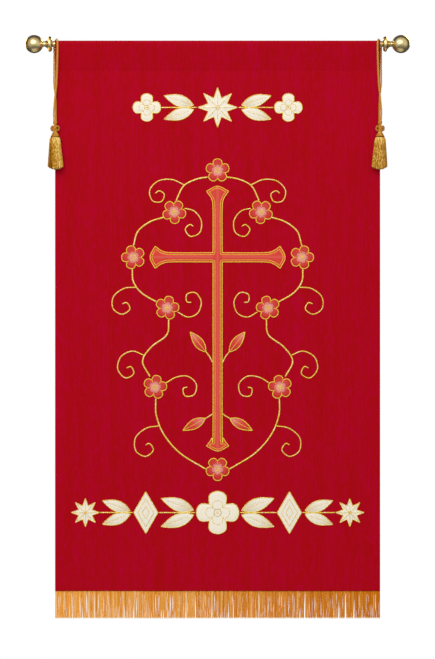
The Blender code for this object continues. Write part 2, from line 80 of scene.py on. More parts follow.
def addCamera():
    # straight on, framed as the photograph is
    pixel = photoView["pixel"]
    x = (photoView["width"] / 2 - photoView["rodMiddle"][0]) * pixel
    z = (photoView["rodMiddle"][1] - photoView["height"] / 2) * pixel
    distance = photoView["height"] * pixel * photoView["lens"] / photoView["sensor"]
    data = bpy.data.cameras.new("photo_camera")
    data.lens = photoView["lens"]
    data.sensor_fit = "VERTICAL"
    data.sensor_height = photoView["sensor"]
    camera = bpy.data.objects.new("photo_camera", data)
    camera.location = (x, -distance, z)
    camera.rotation_euler = (math.pi / 2, 0.0, 0.0)
    bpy.context.scene.collection.objects.link(camera)
    bpy.context.scene.camera = camera


def addLights():
    for name, (place, target, width, height, watts) in studio["boxes"].items():
        data = bpy.data.lights.new(name, "AREA")
        data.shape = "ELLIPSE"
        data.size = width
        data.size_y = height
        data.energy = watts
        light = bpy.data.objects.new(name, data)
        light.location = place
        light.rotation_euler = (Vector(target) - Vector(place)).to_track_quat("-Z", "Y").to_euler()
        bpy.context.scene.collection.objects.link(light)


def addRoom():
    # the room looks white and lights the banner softly
    world = bpy.data.worlds.new("pale_room")
    bpy.context.scene.world = world
    bpy.context.scene.view_settings.view_transform = "Standard"
    world.use_nodes = True
    tree = world.node_tree
    seen = tree.nodes["Background"]
    seen.inputs["Strength"].default_value = studio["background"]
    seen.inputs["Color"].default_value = (1.0, 1.0, 1.0, 1.0)
    way = addNode(tree, "ShaderNodeTexCoord").outputs["Generated"]
    way = addNode(tree, "ShaderNodeSeparateXYZ", {"Vector": way})
    front = addRange(tree, way.outputs["Y"], (0.20, -0.45), (0.0, 1.0))
    high = addRange(tree, way.outputs["Z"], (-0.75, 0.05), (studio["lowShare"], 1.0))
    lit = addMath(tree, "MULTIPLY", front, high)
    strength = addMath(tree, "MULTIPLY_ADD", lit, studio["frontLight"], studio["backLight"])
    given = addNode(tree, "ShaderNodeBackground", {"Strength": strength, "Color": (1, 0.98, 0.95, 1)})
    path = addNode(tree, "ShaderNodeLightPath")
    mix = addNode(tree, "ShaderNodeMixShader", {
        "Fac": path.outputs["Is Camera Ray"], 1: given.outputs[0], 2: seen.outputs[0],
    })
    tree.links.new(mix.outputs[0], tree.nodes["World Output"].inputs["Surface"])


def addFloor():
    bm = bmesh.new()
    bmesh.ops.create_circle(bm, cap_ends=True, segments=96, radius=studio["floorSize"])
    bmesh.ops.translate(bm, verts=bm.verts, vec=(0.0, 0.0, studio["floorHeight"]))
    mesh = bpy.data.meshes.new("studio_floor")
    bm.to_mesh(mesh)
    bm.free()
    floor = bpy.data.objects.new("studio_floor", mesh)
    bpy.context.scene.collection.objects.link(floor)
    material, tree, shader = startMaterial("pale_floor", {"Roughness": 0.8, "Specular IOR Level": 0.1})
    dress(tree, shader, addRamp(tree, addNoise(tree, 15.0, 4.0), zip((0.3, 0.7), studio["floorColours"])))
    mesh.materials.append(material)


# Small tools for materials

def addNode(tree, kind, inputs=None, **settings):
    made = tree.nodes.new(kind)
    for name, value in settings.items():
        setattr(made, name, value)
    for socket, value in (inputs or {}).items():
        if isinstance(value, bpy.types.NodeSocket):
            tree.links.new(value, made.inputs[socket])
        else:
            made.inputs[socket].default_value = value
    return made


def startMaterial(name, sockets):
    material = bpy.data.materials.new(name)
    material.use_nodes = True
    shader = material.node_tree.nodes["Principled BSDF"]
    for socket, value in sockets.items():
        shader.inputs[socket].default_value = value
    return material, material.node_tree, shader


def objectPlace(tree, scale):
    # a place on the object, times one scale or one for each direction
    place = addNode(tree, "ShaderNodeTexCoord").outputs["Object"]
    scale = scale if isinstance(scale, tuple) else (scale,) * 3
    return addNode(tree, "ShaderNodeMapping", {"Vector": place, "Scale": scale}).outputs["Vector"]


def addNoise(tree, scale, detail, roughness=0.5):
    return addNode(tree, "ShaderNodeTexNoise", {
        "Vector": objectPlace(tree, scale), "Scale": 1.0, "Detail": detail, "Roughness": roughness,
    }).outputs["Fac"]


def addRamp(tree, factor, stops):
    # stops are (place, colour) pairs
    stops = tuple(stops)
    ramp = addNode(tree, "ShaderNodeValToRGB", {"Fac": factor})
    elements = ramp.color_ramp.elements
    while len(elements) < len(stops):
        elements.new(0.5)
    for element, (place, colour) in zip(elements, stops):
        element.position = place
        element.color = (*colour, 1.0)
    return ramp.outputs["Color"]


def addMath(tree, operation, first, second=0.0, third=0.0):
    return addNode(tree, "ShaderNodeMath", {0: first, 1: second, 2: third}, operation=operation).outputs[0]


def addRange(tree, value, source, target):
    # turns one range of values softly into another
    return addNode(tree, "ShaderNodeMapRange", {
        "Value": value, "From Min": source[0], "From Max": source[1],
        "To Min": target[0], "To Max": target[1],
    }, interpolation_type="SMOOTHSTEP").outputs["Result"]


def blendColour(tree, factor, first, second, way="MIX"):
    inputs = {0: factor, 6: first, 7: second}
    return addNode(tree, "ShaderNodeMix", inputs, data_type="RGBA", blend_type=way).outputs[2]


def addBump(tree, shader, height, strength, distance, under=None):
    inputs = {"Height": height, "Strength": strength, "Distance": distance}
    if under is not None:
        inputs["Normal"] = under
    bump = addNode(tree, "ShaderNodeBump", inputs)
    tree.links.new(bump.outputs["Normal"], shader.inputs["Normal"])
    return bump.outputs["Normal"]


def dress(tree, shader, colour, roughness=None):
    tree.links.new(colour, shader.inputs["Base Color"])
    if roughness is not None:
        tree.links.new(roughness, shader.inputs["Roughness"])


def readAttribute(tree, name):
    return addNode(tree, "ShaderNodeAttribute", attribute_name=name).outputs["Fac"]


# Materials

redSatin = {
    "dark": (0.385, 0.0022, 0.0060),
    "middle": (0.412, 0.0018, 0.0120),
    "light": (0.440, 0.0008, 0.0270),
    "figureWidth": 7.5,      # bands of the water mark to 0.31 m
    "figureStretch": 0.18,   # the lower, the longer the marks
    "edgeShare": 0.22,       # how much the marks' edges, the streaks and the soft patches show
    "streakShare": 0.50,
    "patchShare": 0.34,
    "streakScale": (240.0, 40.0, 5.0),
    "patchScale": (16.0, 3.0, 2.6),
    "ribPitch": 0.0009,
}


def makeRedSatin():
    # ribbed satin with long upright water marks
    material, tree, shader = startMaterial("red_watered_satin", {
        "Specular IOR Level": 0.02, "Sheen Weight": 0.03, "Sheen Roughness": 0.4,
        "Sheen Tint": (1.0, 0.03, 0.06, 1.0),
    })
    figure = addNode(tree, "ShaderNodeTexWave", {
        "Vector": objectPlace(tree, (1.0, 1.0, redSatin["figureStretch"])), "Scale": redSatin["figureWidth"],
        "Distortion": 8.5, "Detail": 1.5, "Detail Scale": 18.0, "Detail Roughness": 0.45,
    }, bands_direction="X")
    edge = addMath(tree, "POWER", figure.outputs["Fac"], 4.0)   # leaves thin lines at the marks' edges
    streak = addNoise(tree, redSatin["streakScale"], 3.0, 0.6)
    patch = addNoise(tree, redSatin["patchScale"], 2.0)
    marks = addMath(tree, "MULTIPLY", patch, redSatin["patchShare"])
    marks = addMath(tree, "MULTIPLY_ADD", streak, redSatin["streakShare"], marks)
    marks = addMath(tree, "MULTIPLY_ADD", edge, redSatin["edgeShare"], marks)
    tones = zip((0.36, 0.50, 0.72), (redSatin["dark"], redSatin["middle"], redSatin["light"]))
    dress(tree, shader, addRamp(tree, marks, tones), addMath(tree, "MULTIPLY_ADD", marks, -0.22, 0.75))
    ribs = addNode(tree, "ShaderNodeTexWave", {
        "Vector": objectPlace(tree, 1.0), "Scale": math.tau / 20 / redSatin["ribPitch"],
        "Distortion": 0.6, "Detail": 1.0, "Detail Scale": 0.02,
    }, bands_direction="Z")
    low = addBump(tree, shader, marks, 0.15, 0.0006)
    addBump(tree, shader, ribs.outputs["Fac"], 0.22, 0.00018, low)
    return material


stitchWork = {
    "threadPitch": 0.0008,
    "spokes": 150,           # threads round a blossom
    "cream": ((0.80, 0.69, 0.49), (0.93, 0.87, 0.72), (0.97, 0.94, 0.84)),
    "coral": ((0.58, 0.026, 0.022), (0.74, 0.062, 0.038), (0.87, 0.38, 0.36)),
}


def makeStitchedSatin(name, colours):
    # satin stitch: its threads run where "stitch" is even, or as spokes, and its colour fades along "shade", which
    # holds a painted highlight on the ridges of stars and crosses
    dark, middle, light = colours
    material, tree, shader = startMaterial(name, {
        "Specular IOR Level": 0.20, "Sheen Weight": 0.06, "Sheen Roughness": 0.35,
    })
    turn = addMath(tree, "ARCTAN2", readAttribute(tree, "spokeX"), readAttribute(tree, "spokeZ"))
    across = addMath(
        tree, "MULTIPLY_ADD", readAttribute(tree, "stitch"), math.tau / stitchWork["threadPitch"],
        addMath(tree, "MULTIPLY", turn, stitchWork["spokes"]))
    threads = addMath(tree, "SINE", across)
    fibre = addNoise(tree, 900.0, 2.0)
    # the "shade" ramp: a painted highlight along the ridges of stars and crosses, a plain gradient on the other forms
    toneAndPaintedHighlight = addRamp(tree, readAttribute(tree, "shade"), ((0.0, dark), (0.32, middle), (1.0, light)))
    lit = addMath(tree, "MULTIPLY_ADD", threads, 0.10, addMath(tree, "MULTIPLY", fibre, 0.25))
    shaded = blendColour(tree, lit, toneAndPaintedHighlight, (*dark, 1.0))
    dress(tree, shader, shaded, addMath(tree, "MULTIPLY_ADD", fibre, 0.25, 0.30))
    addBump(tree, shader, threads, 0.5, 0.00016)
    return material


def makeGoldWithPaintedGlints():
    # couched metal thread: its colour changes cell by cell from dull to bright gold, and its palest cells are painted
    # glints
    material, tree, shader = startMaterial("gold_metal_braid", {"Metallic": 0.35, "Specular IOR Level": 0.6})
    cells = addNode(tree, "ShaderNodeTexVoronoi", {"Vector": objectPlace(tree, 620.0), "Scale": 1.0})
    spark = addNode(tree, "ShaderNodeSeparateColor", {"Color": cells.outputs["Color"]})
    # the palest stop is a painted glint
    tone = addRamp(tree, spark.outputs["Red"], (
        (0.0, (0.62, 0.30, 0.012)), (0.30, (0.88, 0.56, 0.022)), (0.75, (0.97, 0.76, 0.07)),
        (0.95, (1.0, 0.95, 0.66)),
    ))
    dress(tree, shader, tone, addMath(tree, "MULTIPLY_ADD", spark.outputs["Green"], 0.4, 0.18))
    addBump(tree, shader, spark.outputs["Blue"], 0.25, 0.0003)
    return material


threads = {
    # tones from dark to light; roughness and gloss; grain and its detail; strength and height of its bumps
    "yellow_rim_thread": {
        "tones": ((0.30, (0.72, 0.40, 0.010)), (0.50, (0.93, 0.70, 0.030)), (0.72, (1.0, 0.86, 0.16))),
        "gloss": (0.38, 0.4), "grain": (300.0, 3.0), "bumps": (0.5, 0.0003),
    },
    "red_sewing_thread": {
        "tones": ((0.3, (0.37, 0.002, 0.010)), (0.7, (0.46, 0.003, 0.018))),
        "gloss": (0.5, 0.2), "grain": (800.0, 2.0), "bumps": (0.4, 0.0002),
    },
    "dark_coral_thread": {
        "tones": ((0.3, (0.42, 0.012, 0.010)), (0.7, (0.62, 0.030, 0.022))),
        "gloss": (0.5, 0.2), "grain": (800.0, 2.0), "bumps": (0.4, 0.0002),
    },
}


def makeThread(name):
    look = threads[name]
    material, tree, shader = startMaterial(name, dict(zip(("Roughness", "Specular IOR Level"), look["gloss"])))
    fleck = addNoise(tree, *look["grain"])
    dress(tree, shader, addRamp(tree, fleck, look["tones"]))
    addBump(tree, shader, fleck, *look["bumps"])
    return material


yarns = {
    # tones from dark to light, how fine the fibres are and how much they show
    "twisted_gold_cord": {
        "tones": ((0.05, (0.30, 0.100, 0.005)), (0.32, (0.60, 0.245, 0.024)), (0.58, (0.80, 0.39, 0.060)),
                  (0.80, (0.90, 0.57, 0.15))),
        "grain": (700.0, 700.0, 160.0), "flecks": 0.35,
    },
    "tassel_yarn": {
        "tones": ((0.0, (0.11, 0.045, 0.001)), (0.25, (0.36, 0.13, 0.001)), (0.50, (0.53, 0.24, 0.008)),
                  (0.76, (0.78, 0.47, 0.06)), (1.0, (1.0, 0.84, 0.34))),
        "grain": (260.0, 260.0, 130.0), "flecks": 1.5,
        # painted highlight on the tassel's shoulders
        "crown": 0.20,       # how much brighter it is near its root
    },
    "fringe_yarn": {
        "tones": ((0.0, (0.62, 0.22, 0.010)), (0.30, (0.88, 0.38, 0.038)), (0.55, (0.96, 0.49, 0.085)),
                  (0.80, (0.98, 0.62, 0.22)), (1.0, (1.0, 0.86, 0.60))),
        "grain": (900.0, 900.0, 14.0), "flecks": 0.4,
        "tip": (0.955, 0.985, (0.95, 0.74, 0.48)),   # where the tip's colour starts and where it is full
        "deep": (0.74, 0.46, 0.0),                   # turns it from pale to deep gold from left to right
    },
}


def makeYarn(name):
    # rayon yarn: each one has its own tone, read from "yarn", and "along" runs from its root to its tip
    look = yarns[name]
    material, tree, shader = startMaterial(name, {
        "Roughness": 0.42, "Specular IOR Level": 0.25, "Sheen Weight": 0.08, "Sheen Roughness": 0.3,
        "Sheen Tint": (1.0, 0.70, 0.30, 1.0),
    })
    fibre = addNoise(tree, look["grain"], 3.0, 0.6)
    place = addMath(tree, "MULTIPLY_ADD", fibre, look["flecks"], readAttribute(tree, "yarn"))
    # painted highlight: brighter near the root, where the shoulders are
    if "crown" in look:
        near = addRange(tree, readAttribute(tree, "along"), (0.32, 0.06), (0.0, look["crown"]))
        place = addMath(tree, "ADD", place, near)
    tone = addRamp(tree, addMath(tree, "SUBTRACT", place, look["flecks"] / 2), look["tones"])
    if "deep" in look:
        spot = addNode(tree, "ShaderNodeSeparateXYZ", {"Vector": objectPlace(tree, 1.0)})
        share = addMath(tree, "MULTIPLY_ADD", spot.outputs["X"], 1 / cloth["width"], 0.5)
        deep = addMath(tree, "POWER", addMath(tree, "MAXIMUM", share, 0.0), 1.3)
        tone = blendColour(tree, deep, tone, (*look["deep"], 1.0), "MULTIPLY")
    if "tip" in look:
        start, full, colour = look["tip"]
        end = addRamp(tree, readAttribute(tree, "along"), ((start, (0, 0, 0)), (full, (1, 1, 1))))
        tone = blendColour(tree, end, tone, (*colour, 1.0))
    dress(tree, shader, tone)
    addBump(tree, shader, fibre, 0.45, 0.0003)
    return material


def makeBrass():
    # lacquered brass, a little dull in places
    material, tree, shader = startMaterial("aged_brass", {
        "Metallic": 1.0, "Specular Tint": (0.45, 0.29, 0.12, 1.0),
    })
    cloud = addNoise(tree, 60.0, 5.0, 0.6)
    scratch = addNoise(tree, (3000.0, 260.0, 260.0), 2.0)
    tone = addRamp(tree, cloud, (
        (0.30, (0.66, 0.48, 0.21)), (0.52, (0.83, 0.68, 0.35)), (0.75, (0.90, 0.78, 0.46)),
    ))
    dress(tree, shader, tone, addMath(tree, "MULTIPLY_ADD", cloud, 0.10, 0.20))
    addBump(tree, shader, scratch, 0.06, 0.0001)
    return material


# Small tools for meshes

def finishPiece(name, bm, materials, replaced=(), sharp=40.0, recalculate=True):
    if recalculate:
        bmesh.ops.recalc_face_normals(bm, faces=bm.faces)
    mesh = bpy.data.meshes.new(name)
    bm.to_mesh(mesh)
    bm.free()
    for material in materials:
        mesh.materials.append(material)
    mesh.shade_smooth()
    mesh.set_sharp_from_angle(angle=math.radians(sharp))
    piece = bpy.data.objects.new(name, mesh)
    bpy.context.scene.collection.objects.link(piece)
    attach(piece, "root")
    if replaced:
        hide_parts(*replaced)
    return piece


def between(before, start, end, after, share):
    # a point on the smooth curve through four points, on its stretch from start to end
    return 0.5 * (
        2 * start + (end - before) * share + (2 * before - 5 * start + 4 * end - after) * share**2
        + (3 * start - before - 3 * end + after) * share**3
    )


def smoothLine(points, step):
    # an open curve through given points, read about every step
    points = [Vector(point) for point in points]
    padded = [2 * points[0] - points[1], *points, 2 * points[-1] - points[-2]]
    line = [points[0]]
    for before, start, end, after in zip(padded, padded[1:], padded[2:], padded[3:]):
        count = max(1, round((end - start).length / step))
        line += [between(before, start, end, after, i / count) for i in range(1, count + 1)]
    return line


def evenLine(points, step, closed=False):
    # the same line with its points at even distances
    line = points + points[:1] if closed else points
    total = sum((b - a).length for a, b in zip(line, line[1:]))
    count = max(3, round(total / step))
    gap = total / count
    spaced = [line[0].copy()]
    left = gap
    for a, b in zip(line, line[1:]):
        run = (b - a).length
        used = 0.0
        while run - used >= left - 1e-9 and len(spaced) < count:
            used += left
            spaced.append(a.lerp(b, used / run) if run else a.copy())
            left = gap
        left -= run - used
    if not closed:
        spaced.append(line[-1].copy())
    return spaced


def twistTilts(points, pitch, closed):
    # how far a cord's plies have turned at each point
    tilts = [0.0]
    for a, b in zip(points, points[1:]):
        tilts.append(tilts[-1] + (b - a).length / pitch * math.tau)
    if closed:
        total = tilts[-1] + (points[0] - points[-1]).length / pitch * math.tau
        whole = max(1, round(total / math.tau)) * math.tau
        tilts = [tilt * whole / total for tilt in tilts]
    return tilts


def plyProfile(radius, corners, lobes=0, depth=0.0):
    # a cut through a cord, whose plies stand out as lobes
    curve = bpy.data.curves.new("ply_profile", "CURVE")
    curve.dimensions = "2D"
    spline = curve.splines.new("POLY")
    spline.points.add(corners - 1)
    for i, spot in enumerate(spline.points):
        angle = math.tau * i / corners
        reach = radius - (depth * (1 - abs(math.cos(lobes * angle / 2))) if lobes else 0.0)
        spot.co = (reach * math.cos(angle), reach * math.sin(angle), 0.0, 1.0)
    spline.use_cyclic_u = True
    profile = bpy.data.objects.new("ply_profile", curve)
    bpy.context.scene.collection.objects.link(profile)
    return profile


def sweep(strands, profile, closed=False):
    # runs a profile along many lines at once; a strand is (points, tilts or None, radii or None)
    curve = bpy.data.curves.new("swept_line", "CURVE")
    curve.dimensions = "3D"
    curve.bevel_mode = "OBJECT"
    curve.bevel_object = profile
    curve.use_fill_caps = True
    for points, tilts, radii in strands:
        spline = curve.splines.new("POLY")
        spline.points.add(len(points) - 1)
        for i, spot in enumerate(spline.points):
            spot.co = (*points[i], 1.0)
            spot.tilt = tilts[i] if tilts else 0.0
            spot.radius = radii[i] if radii else 1.0
        spline.use_cyclic_u = closed
    line = bpy.data.objects.new("swept_line", curve)
    bpy.context.scene.collection.objects.link(line)
    mesh = bpy.data.meshes.new_from_object(line.evaluated_get(bpy.context.evaluated_depsgraph_get()))
    bpy.data.objects.remove(line, do_unlink=True)
    bpy.data.curves.remove(curve)
    return mesh


def dropProfile(profile):
    curve = profile.data
    bpy.data.objects.remove(profile, do_unlink=True)
    bpy.data.curves.remove(curve)


def sweptForm(strands, radius, corners, lobes=0, depth=0.0, closed=False, tones=None, groove=0.0):
    profile = plyProfile(radius, corners, lobes, depth)
    mesh = sweep(strands, profile, closed)
    dropProfile(profile)
    if tones:
        # painted shade: darker by groove where the profile dips between the plies
        paintedGrooveShades = [groove * (1 - abs(math.cos(lobes * math.pi * i / corners))) for i in range(corners)]
        tagYarns(mesh, strands, tones, paintedGrooveShades, closed)
    form = bmesh.new()
    form.from_mesh(mesh)
    bpy.data.meshes.remove(mesh)
    bmesh.ops.remove_doubles(form, verts=form.verts, dist=weld)
    bmesh.ops.recalc_face_normals(form, faces=form.faces)
    return form


def tagYarns(mesh, strands, tones, paintedGrooveShades, closed):
    # gives every point of a swept mesh its yarn's tone, less the painted shade of its place round the yarn,
    # which is darkest in the grooves between plies, and its place along the yarn; the end caps of open ones come first
    tone, along = [], []
    corners = len(paintedGrooveShades)
    for value in () if closed else reversed(tones):
        tone += [value - shade for shade in paintedGrooveShades] * 2
        along += [1.0] * corners + [0.0] * corners
    for (points, _, _), value in zip(strands, tones):
        for i in range(len(points)):
            tone += [value - shade for shade in paintedGrooveShades]
            along += [i / (len(points) - 1)] * corners
    for name, values in (("yarn", tone), ("along", along)):
        layer = mesh.attributes.new(name, "FLOAT", "POINT")
        layer.data.foreach_set("value", values)


def joinForm(bm, form, materialIndex=0):
    # adds one form to another, with the material it is to have
    for face in form.faces:
        face.material_index = materialIndex
    mesh = bpy.data.meshes.new("join")
    form.to_mesh(mesh)
    form.free()
    bm.from_mesh(mesh)
    bpy.data.meshes.remove(mesh)


def rope(points, radius, pitch, lobes=2, depth=0.25, closed=False, corners=8, tone=0.5, groove=0.0):
    tilts = twistTilts(points, pitch, closed)
    return sweptForm([(points, tilts, None)], radius, corners, lobes, depth * radius, closed, [tone], groove)


def lathe(bm, outline, steps):
    # turns (radius, height) points about the Z axis into a closed form
    verts = [bm.verts.new((radius, 0.0, height)) for radius, height in outline]
    edges = [bm.edges.new(pair) for pair in zip(verts, verts[1:])]
    bmesh.ops.spin(
        bm, geom=verts + edges, cent=(0, 0, 0), axis=(0, 0, 1), angle=math.tau, steps=steps, use_merge=True)
    bmesh.ops.remove_doubles(bm, verts=bm.verts, dist=weld)


# The cloth and the folds that it hangs in

cloth = {
    "width": 0.9144,
    "drop": 1.5387,
    "thickness": 0.0015,
    "pocketDepth": 0.075,
    "pocketHem": 0.012,
    "rodRadius": 0.008,
    "rodGap": 0.0003,
    "columns": 176,
    "rowHeight": 0.016,
    "arcSteps": 22,
    "seamPull": 0.00015,     # how far a seam draws the cloth in
    "hemHeight": 0.016,      # from the foot to its line of stitches
    "folds": ((0.43, 0.0013, 0.6), (0.29, 0.0007, 2.1)),   # wavelength, height, phase
    # soft ridges and troughs: x, half width, height towards the viewer, top, foot
    "creases": (
        (-0.372, 0.020, 0.0004, -0.10, -0.95), (-0.312, 0.014, -0.0003, -0.20, -1.20),
        (-0.236, 0.022, 0.0005, -0.09, -0.60), (-0.205, 0.016, -0.0003, -0.75, -1.53),
        (-0.118, 0.024, 0.0003, -0.62, -1.50), (-0.052, 0.017, -0.0003, -0.11, -0.85),
        (0.041, 0.021, 0.0004, -0.85, -1.52), (0.098, 0.015, -0.0002, -0.10, -0.52),
        (0.165, 0.023, 0.0005, -0.20, -1.10), (0.214, 0.016, -0.0004, -0.95, -1.53),
        (0.268, 0.020, 0.0003, -0.09, -0.78), (0.331, 0.015, -0.0003, -0.35, -1.40),
        (0.389, 0.022, 0.0004, -0.12, -1.15),
    ),
}


def fade(value, start, end):
    share = min(max((value - start) / (end - start), 0.0), 1.0)
    return share * share * (3 - 2 * share)


def clothSway(x, z):
    # how far the middle of the cloth stands off its plane at a place on its front
    down = min(max((-z - cloth["pocketDepth"]) / (cloth["drop"] - cloth["pocketDepth"]), 0.0), 1.0)
    sway = down * sum(height * math.sin(math.tau * x / wave + phase) for wave, height, phase in cloth["folds"])
    for middle, halfWidth, height, top, foot in cloth["creases"]:
        near = abs(x - middle) / halfWidth
        if near < 2.5 and z < top:
            run = fade(-z, -top, -top + 0.12) * (1.0 - 0.7 * fade(-z, -foot - 0.2, -foot))
            sway -= height * math.exp(-near * near) * run
    return sway


def clothFront(x, z):
    return clothSway(x, z) - cloth["thickness"] / 2


def clothSection():
    # the cloth's middle line from its foot up over the rod and down again, as (y, z)
    radius = cloth["rodRadius"] + cloth["rodGap"] + cloth["thickness"] / 2
    back = cloth["thickness"] + 0.00005
    seam = -cloth["pocketDepth"]
    foot, hem = -cloth["drop"], cloth["hemHeight"]
    line = [(0.0, foot + share * hem) for share in (0.0, 0.2, 0.5, 0.8, 0.92, 1.0, 1.12, 1.4)]
    rows = round((cloth["drop"] - cloth["pocketDepth"]) / cloth["rowHeight"])
    low, high = foot + 2 * hem, seam - 0.012
    line += [(0.0, low + (high - low) * i / rows) for i in range(rows + 1)]
    line += [(0.0, seam - down) for down in (0.007, 0.004, 0.002, 0.0)]
    front = -math.acos(radius / -seam)
    rear = math.acos(radius / math.hypot(back, seam)) + math.atan2(back, -seam)
    arc = []
    for i in range(cloth["arcSteps"] + 1):
        angle = front - (math.tau - (rear - front)) * i / cloth["arcSteps"]
        arc.append((math.sin(angle) * radius, -math.cos(angle) * radius))
    climb = (0.03, 0.07, 0.15, 0.35, 0.65)
    line += [(arc[0][0] * share, seam + (arc[0][1] - seam) * share) for share in climb]
    line += arc
    y, z = arc[-1]
    line += [(back + (y - back) * share, seam + (z - seam) * share) for share in reversed(climb)]
    line += [(back, seam), (back, seam - 0.004), (back, seam - cloth["pocketHem"])]
    return line


def makeCloth():
    section = clothSection()
    columns, rows = cloth["columns"], len(section) - 1
    seamIndex = max(i for i, (y, z) in enumerate(section) if y == 0.0)
    bm = bmesh.new()
    bmesh.ops.create_grid(bm, x_segments=columns, y_segments=rows, size=0.5)
    for vert in bm.verts:
        x = vert.co.x * cloth["width"]
        row = round((vert.co.y + 0.5) * rows)
        y, z = section[row]
        shown = z if row <= seamIndex or z < -cloth["pocketDepth"] else -cloth["pocketDepth"]
        y += clothSway(x, shown)
        for line in (-cloth["pocketDepth"], cloth["hemHeight"] - cloth["drop"]):
            y += cloth["seamPull"] * math.exp(-((z - line) / 0.003) ** 2) * (row <= seamIndex)
        vert.co = (x, y, z)
    bmesh.ops.recalc_face_normals(bm, faces=bm.faces)
    satin = makeRedSatin()
    piece = finishPiece("watered_satin_cloth", bm, [satin], ("banner_panel",), sharp=60.0)
    thick = piece.modifiers.new("thickness", "SOLIDIFY")
    thick.thickness = cloth["thickness"]
    thick.offset = 0.0
    print("cloth made")
    return piece


stitching = {
    "pitch": 0.0034,
    "length": 0.0025,
    "radius": 0.00028,
}


def stitchRow(start, end, front=True):
    # one row of machine stitches between two places, each a short raised bead of thread
    count = round(math.dist(start, end) / stitching["pitch"])
    half = stitching["length"] / 2 / math.dist(start, end)
    strands = []
    for i in range(count):
        middle = (i + 0.5) / count
        points = []
        for share in (middle - half, middle - half / 2, middle + half / 2, middle + half):
            x = start[0] + (end[0] - start[0]) * share
            z = start[1] + (end[1] - start[1]) * share
            y = clothSway(x, z) + cloth["seamPull"] + (-1 if front else 1) * (cloth["thickness"] / 2 + 0.0001)
            points.append(Vector((x, y, z)))
        strands.append((points, None, (0.35, 1.0, 1.0, 0.35)))
    return strands


def makeStitches():
    edge = cloth["width"] / 2 - 0.004
    seam, hem = -cloth["pocketDepth"], cloth["hemHeight"] - cloth["drop"]
    strands = stitchRow((-edge, seam), (edge, seam)) + stitchRow((-edge, hem), (edge, hem))
    form = sweptForm(strands, stitching["radius"], 4)
    print("stitches made:", len(strands))
    return finishPiece("hem_and_pocket_stitches", form, [makeThread("red_sewing_thread")])


# Brass rod and finials

rod = {
    "radius": 0.008,
    "halfLength": 0.4769,
    "steps": 72,
}

finial = {
    "collarFace": 0.4662,
    "socketRadius": 0.0083,
    "socketDepth": 0.011,
    # outwards from the collar's inner face, and radius
    "neck": (
        (0.0, 0.0170), (0.0012, 0.0194), (0.0040, 0.0210), (0.0073, 0.0213), (0.0090, 0.0203),
        (0.0106, 0.0166), (0.0133, 0.0122), (0.0168, 0.0088), (0.0208, 0.0073), (0.0223, 0.0075),
        (0.0233, 0.0082), (0.0244, 0.0082), (0.0251, 0.0077),
    ),
    "ballRadius": 0.0255,
    "ballCentre": 0.0498,
    "ballStart": 0.0079,
    "ballSteps": 40,
    "steps": 96,
}


def makeRod(brass):
    bm = bmesh.new()
    bmesh.ops.create_cone(
        bm, cap_ends=True, segments=rod["steps"], radius1=rod["radius"], radius2=rod["radius"],
        depth=2 * rod["halfLength"], matrix=Matrix.Rotation(math.pi / 2, 4, "Y"))
    rims = [edge for edge in bm.edges if edge.calc_length() < rod["radius"]]
    bmesh.ops.bevel(
        bm, geom=rims, offset=0.0006, segments=2, profile=0.5, affect="EDGES", material=-1)
    return finishPiece("brass_rod", bm, [brass], ("rod",))


def makeFinial(side, brass):
    neck = smoothLine([(radius, along, 0.0) for along, radius in finial["neck"]], 0.0009)
    outline = [(0.0, finial["socketDepth"]), (finial["socketRadius"], finial["socketDepth"])]
    outline += [(finial["socketRadius"], 0.0006), (finial["socketRadius"] + 0.0006, 0.0)]
    outline += [(point.x, point.y) for point in neck]
    start = math.asin(finial["ballStart"] / finial["ballRadius"])
    for i in range(finial["ballSteps"] + 1):
        angle = start + (math.pi - start) * i / finial["ballSteps"]
        radius = 0.0 if i == finial["ballSteps"] else finial["ballRadius"] * math.sin(angle)
        outline.append((radius, finial["ballCentre"] - finial["ballRadius"] * math.cos(angle)))
    bm = bmesh.new()
    lathe(bm, outline, finial["steps"])
    sign = sides[side]
    turn = Matrix.Rotation(sign * math.pi / 2, 4, "Y")
    move = Matrix.Translation((sign * finial["collarFace"], 0, 0))
    bmesh.ops.transform(bm, verts=bm.verts, matrix=move @ turn)
    return finishPiece(f"brass_finial_{side}", bm, [brass], (f"finial_{side}",), sharp=50.0)


# Tasselled cords

# From the knot up in front of the cloth, over the rod and down behind it to the knot again: out, y, z.
cordRoute = (
    (0.4594, -0.0092, -0.2152), (0.4602, -0.0096, -0.1910), (0.4586, -0.0102, -0.1680), (0.4564, -0.0107, -0.1460),
    (0.4536, -0.0111, -0.1200), (0.4519, -0.0117, -0.0950), (0.4506, -0.0124, -0.0600), (0.4498, -0.0130, -0.0300),
    (0.4494, -0.0132, -0.0080), (0.4496, -0.0130, 0.0015), (0.4506, -0.0094, 0.0092), (0.4526, -0.0015, 0.0132),
    (0.4556, 0.0066, 0.0115), (0.4588, 0.0118, 0.0055), (0.4606, 0.0122, -0.0035), (0.4607, 0.0104, -0.0160),
    (0.4605, 0.0074, -0.0360), (0.4604, 0.0037, -0.0600), (0.4603, -0.0008, -0.0840), (0.4601, -0.0043, -0.1080),
    (0.4582, -0.0053, -0.1280), (0.4563, -0.0050, -0.1460), (0.4553, -0.0046, -0.1680), (0.4552, -0.0045, -0.1910),
    (0.4549, -0.0045, -0.2152),
)

cord = {
    "length": 0.475,
    "diameter": 0.005,
    "swell": 1.10,           # how far its plies stand past the diameter
    "plies": 3,
    "plyDepth": 0.36,
    "pitch": 0.0165,
    "step": 0.0011,
    "tone": 0.62,
    # painted shade between the plies
    "groove": 0.62,          # how much darker it is between its plies
}


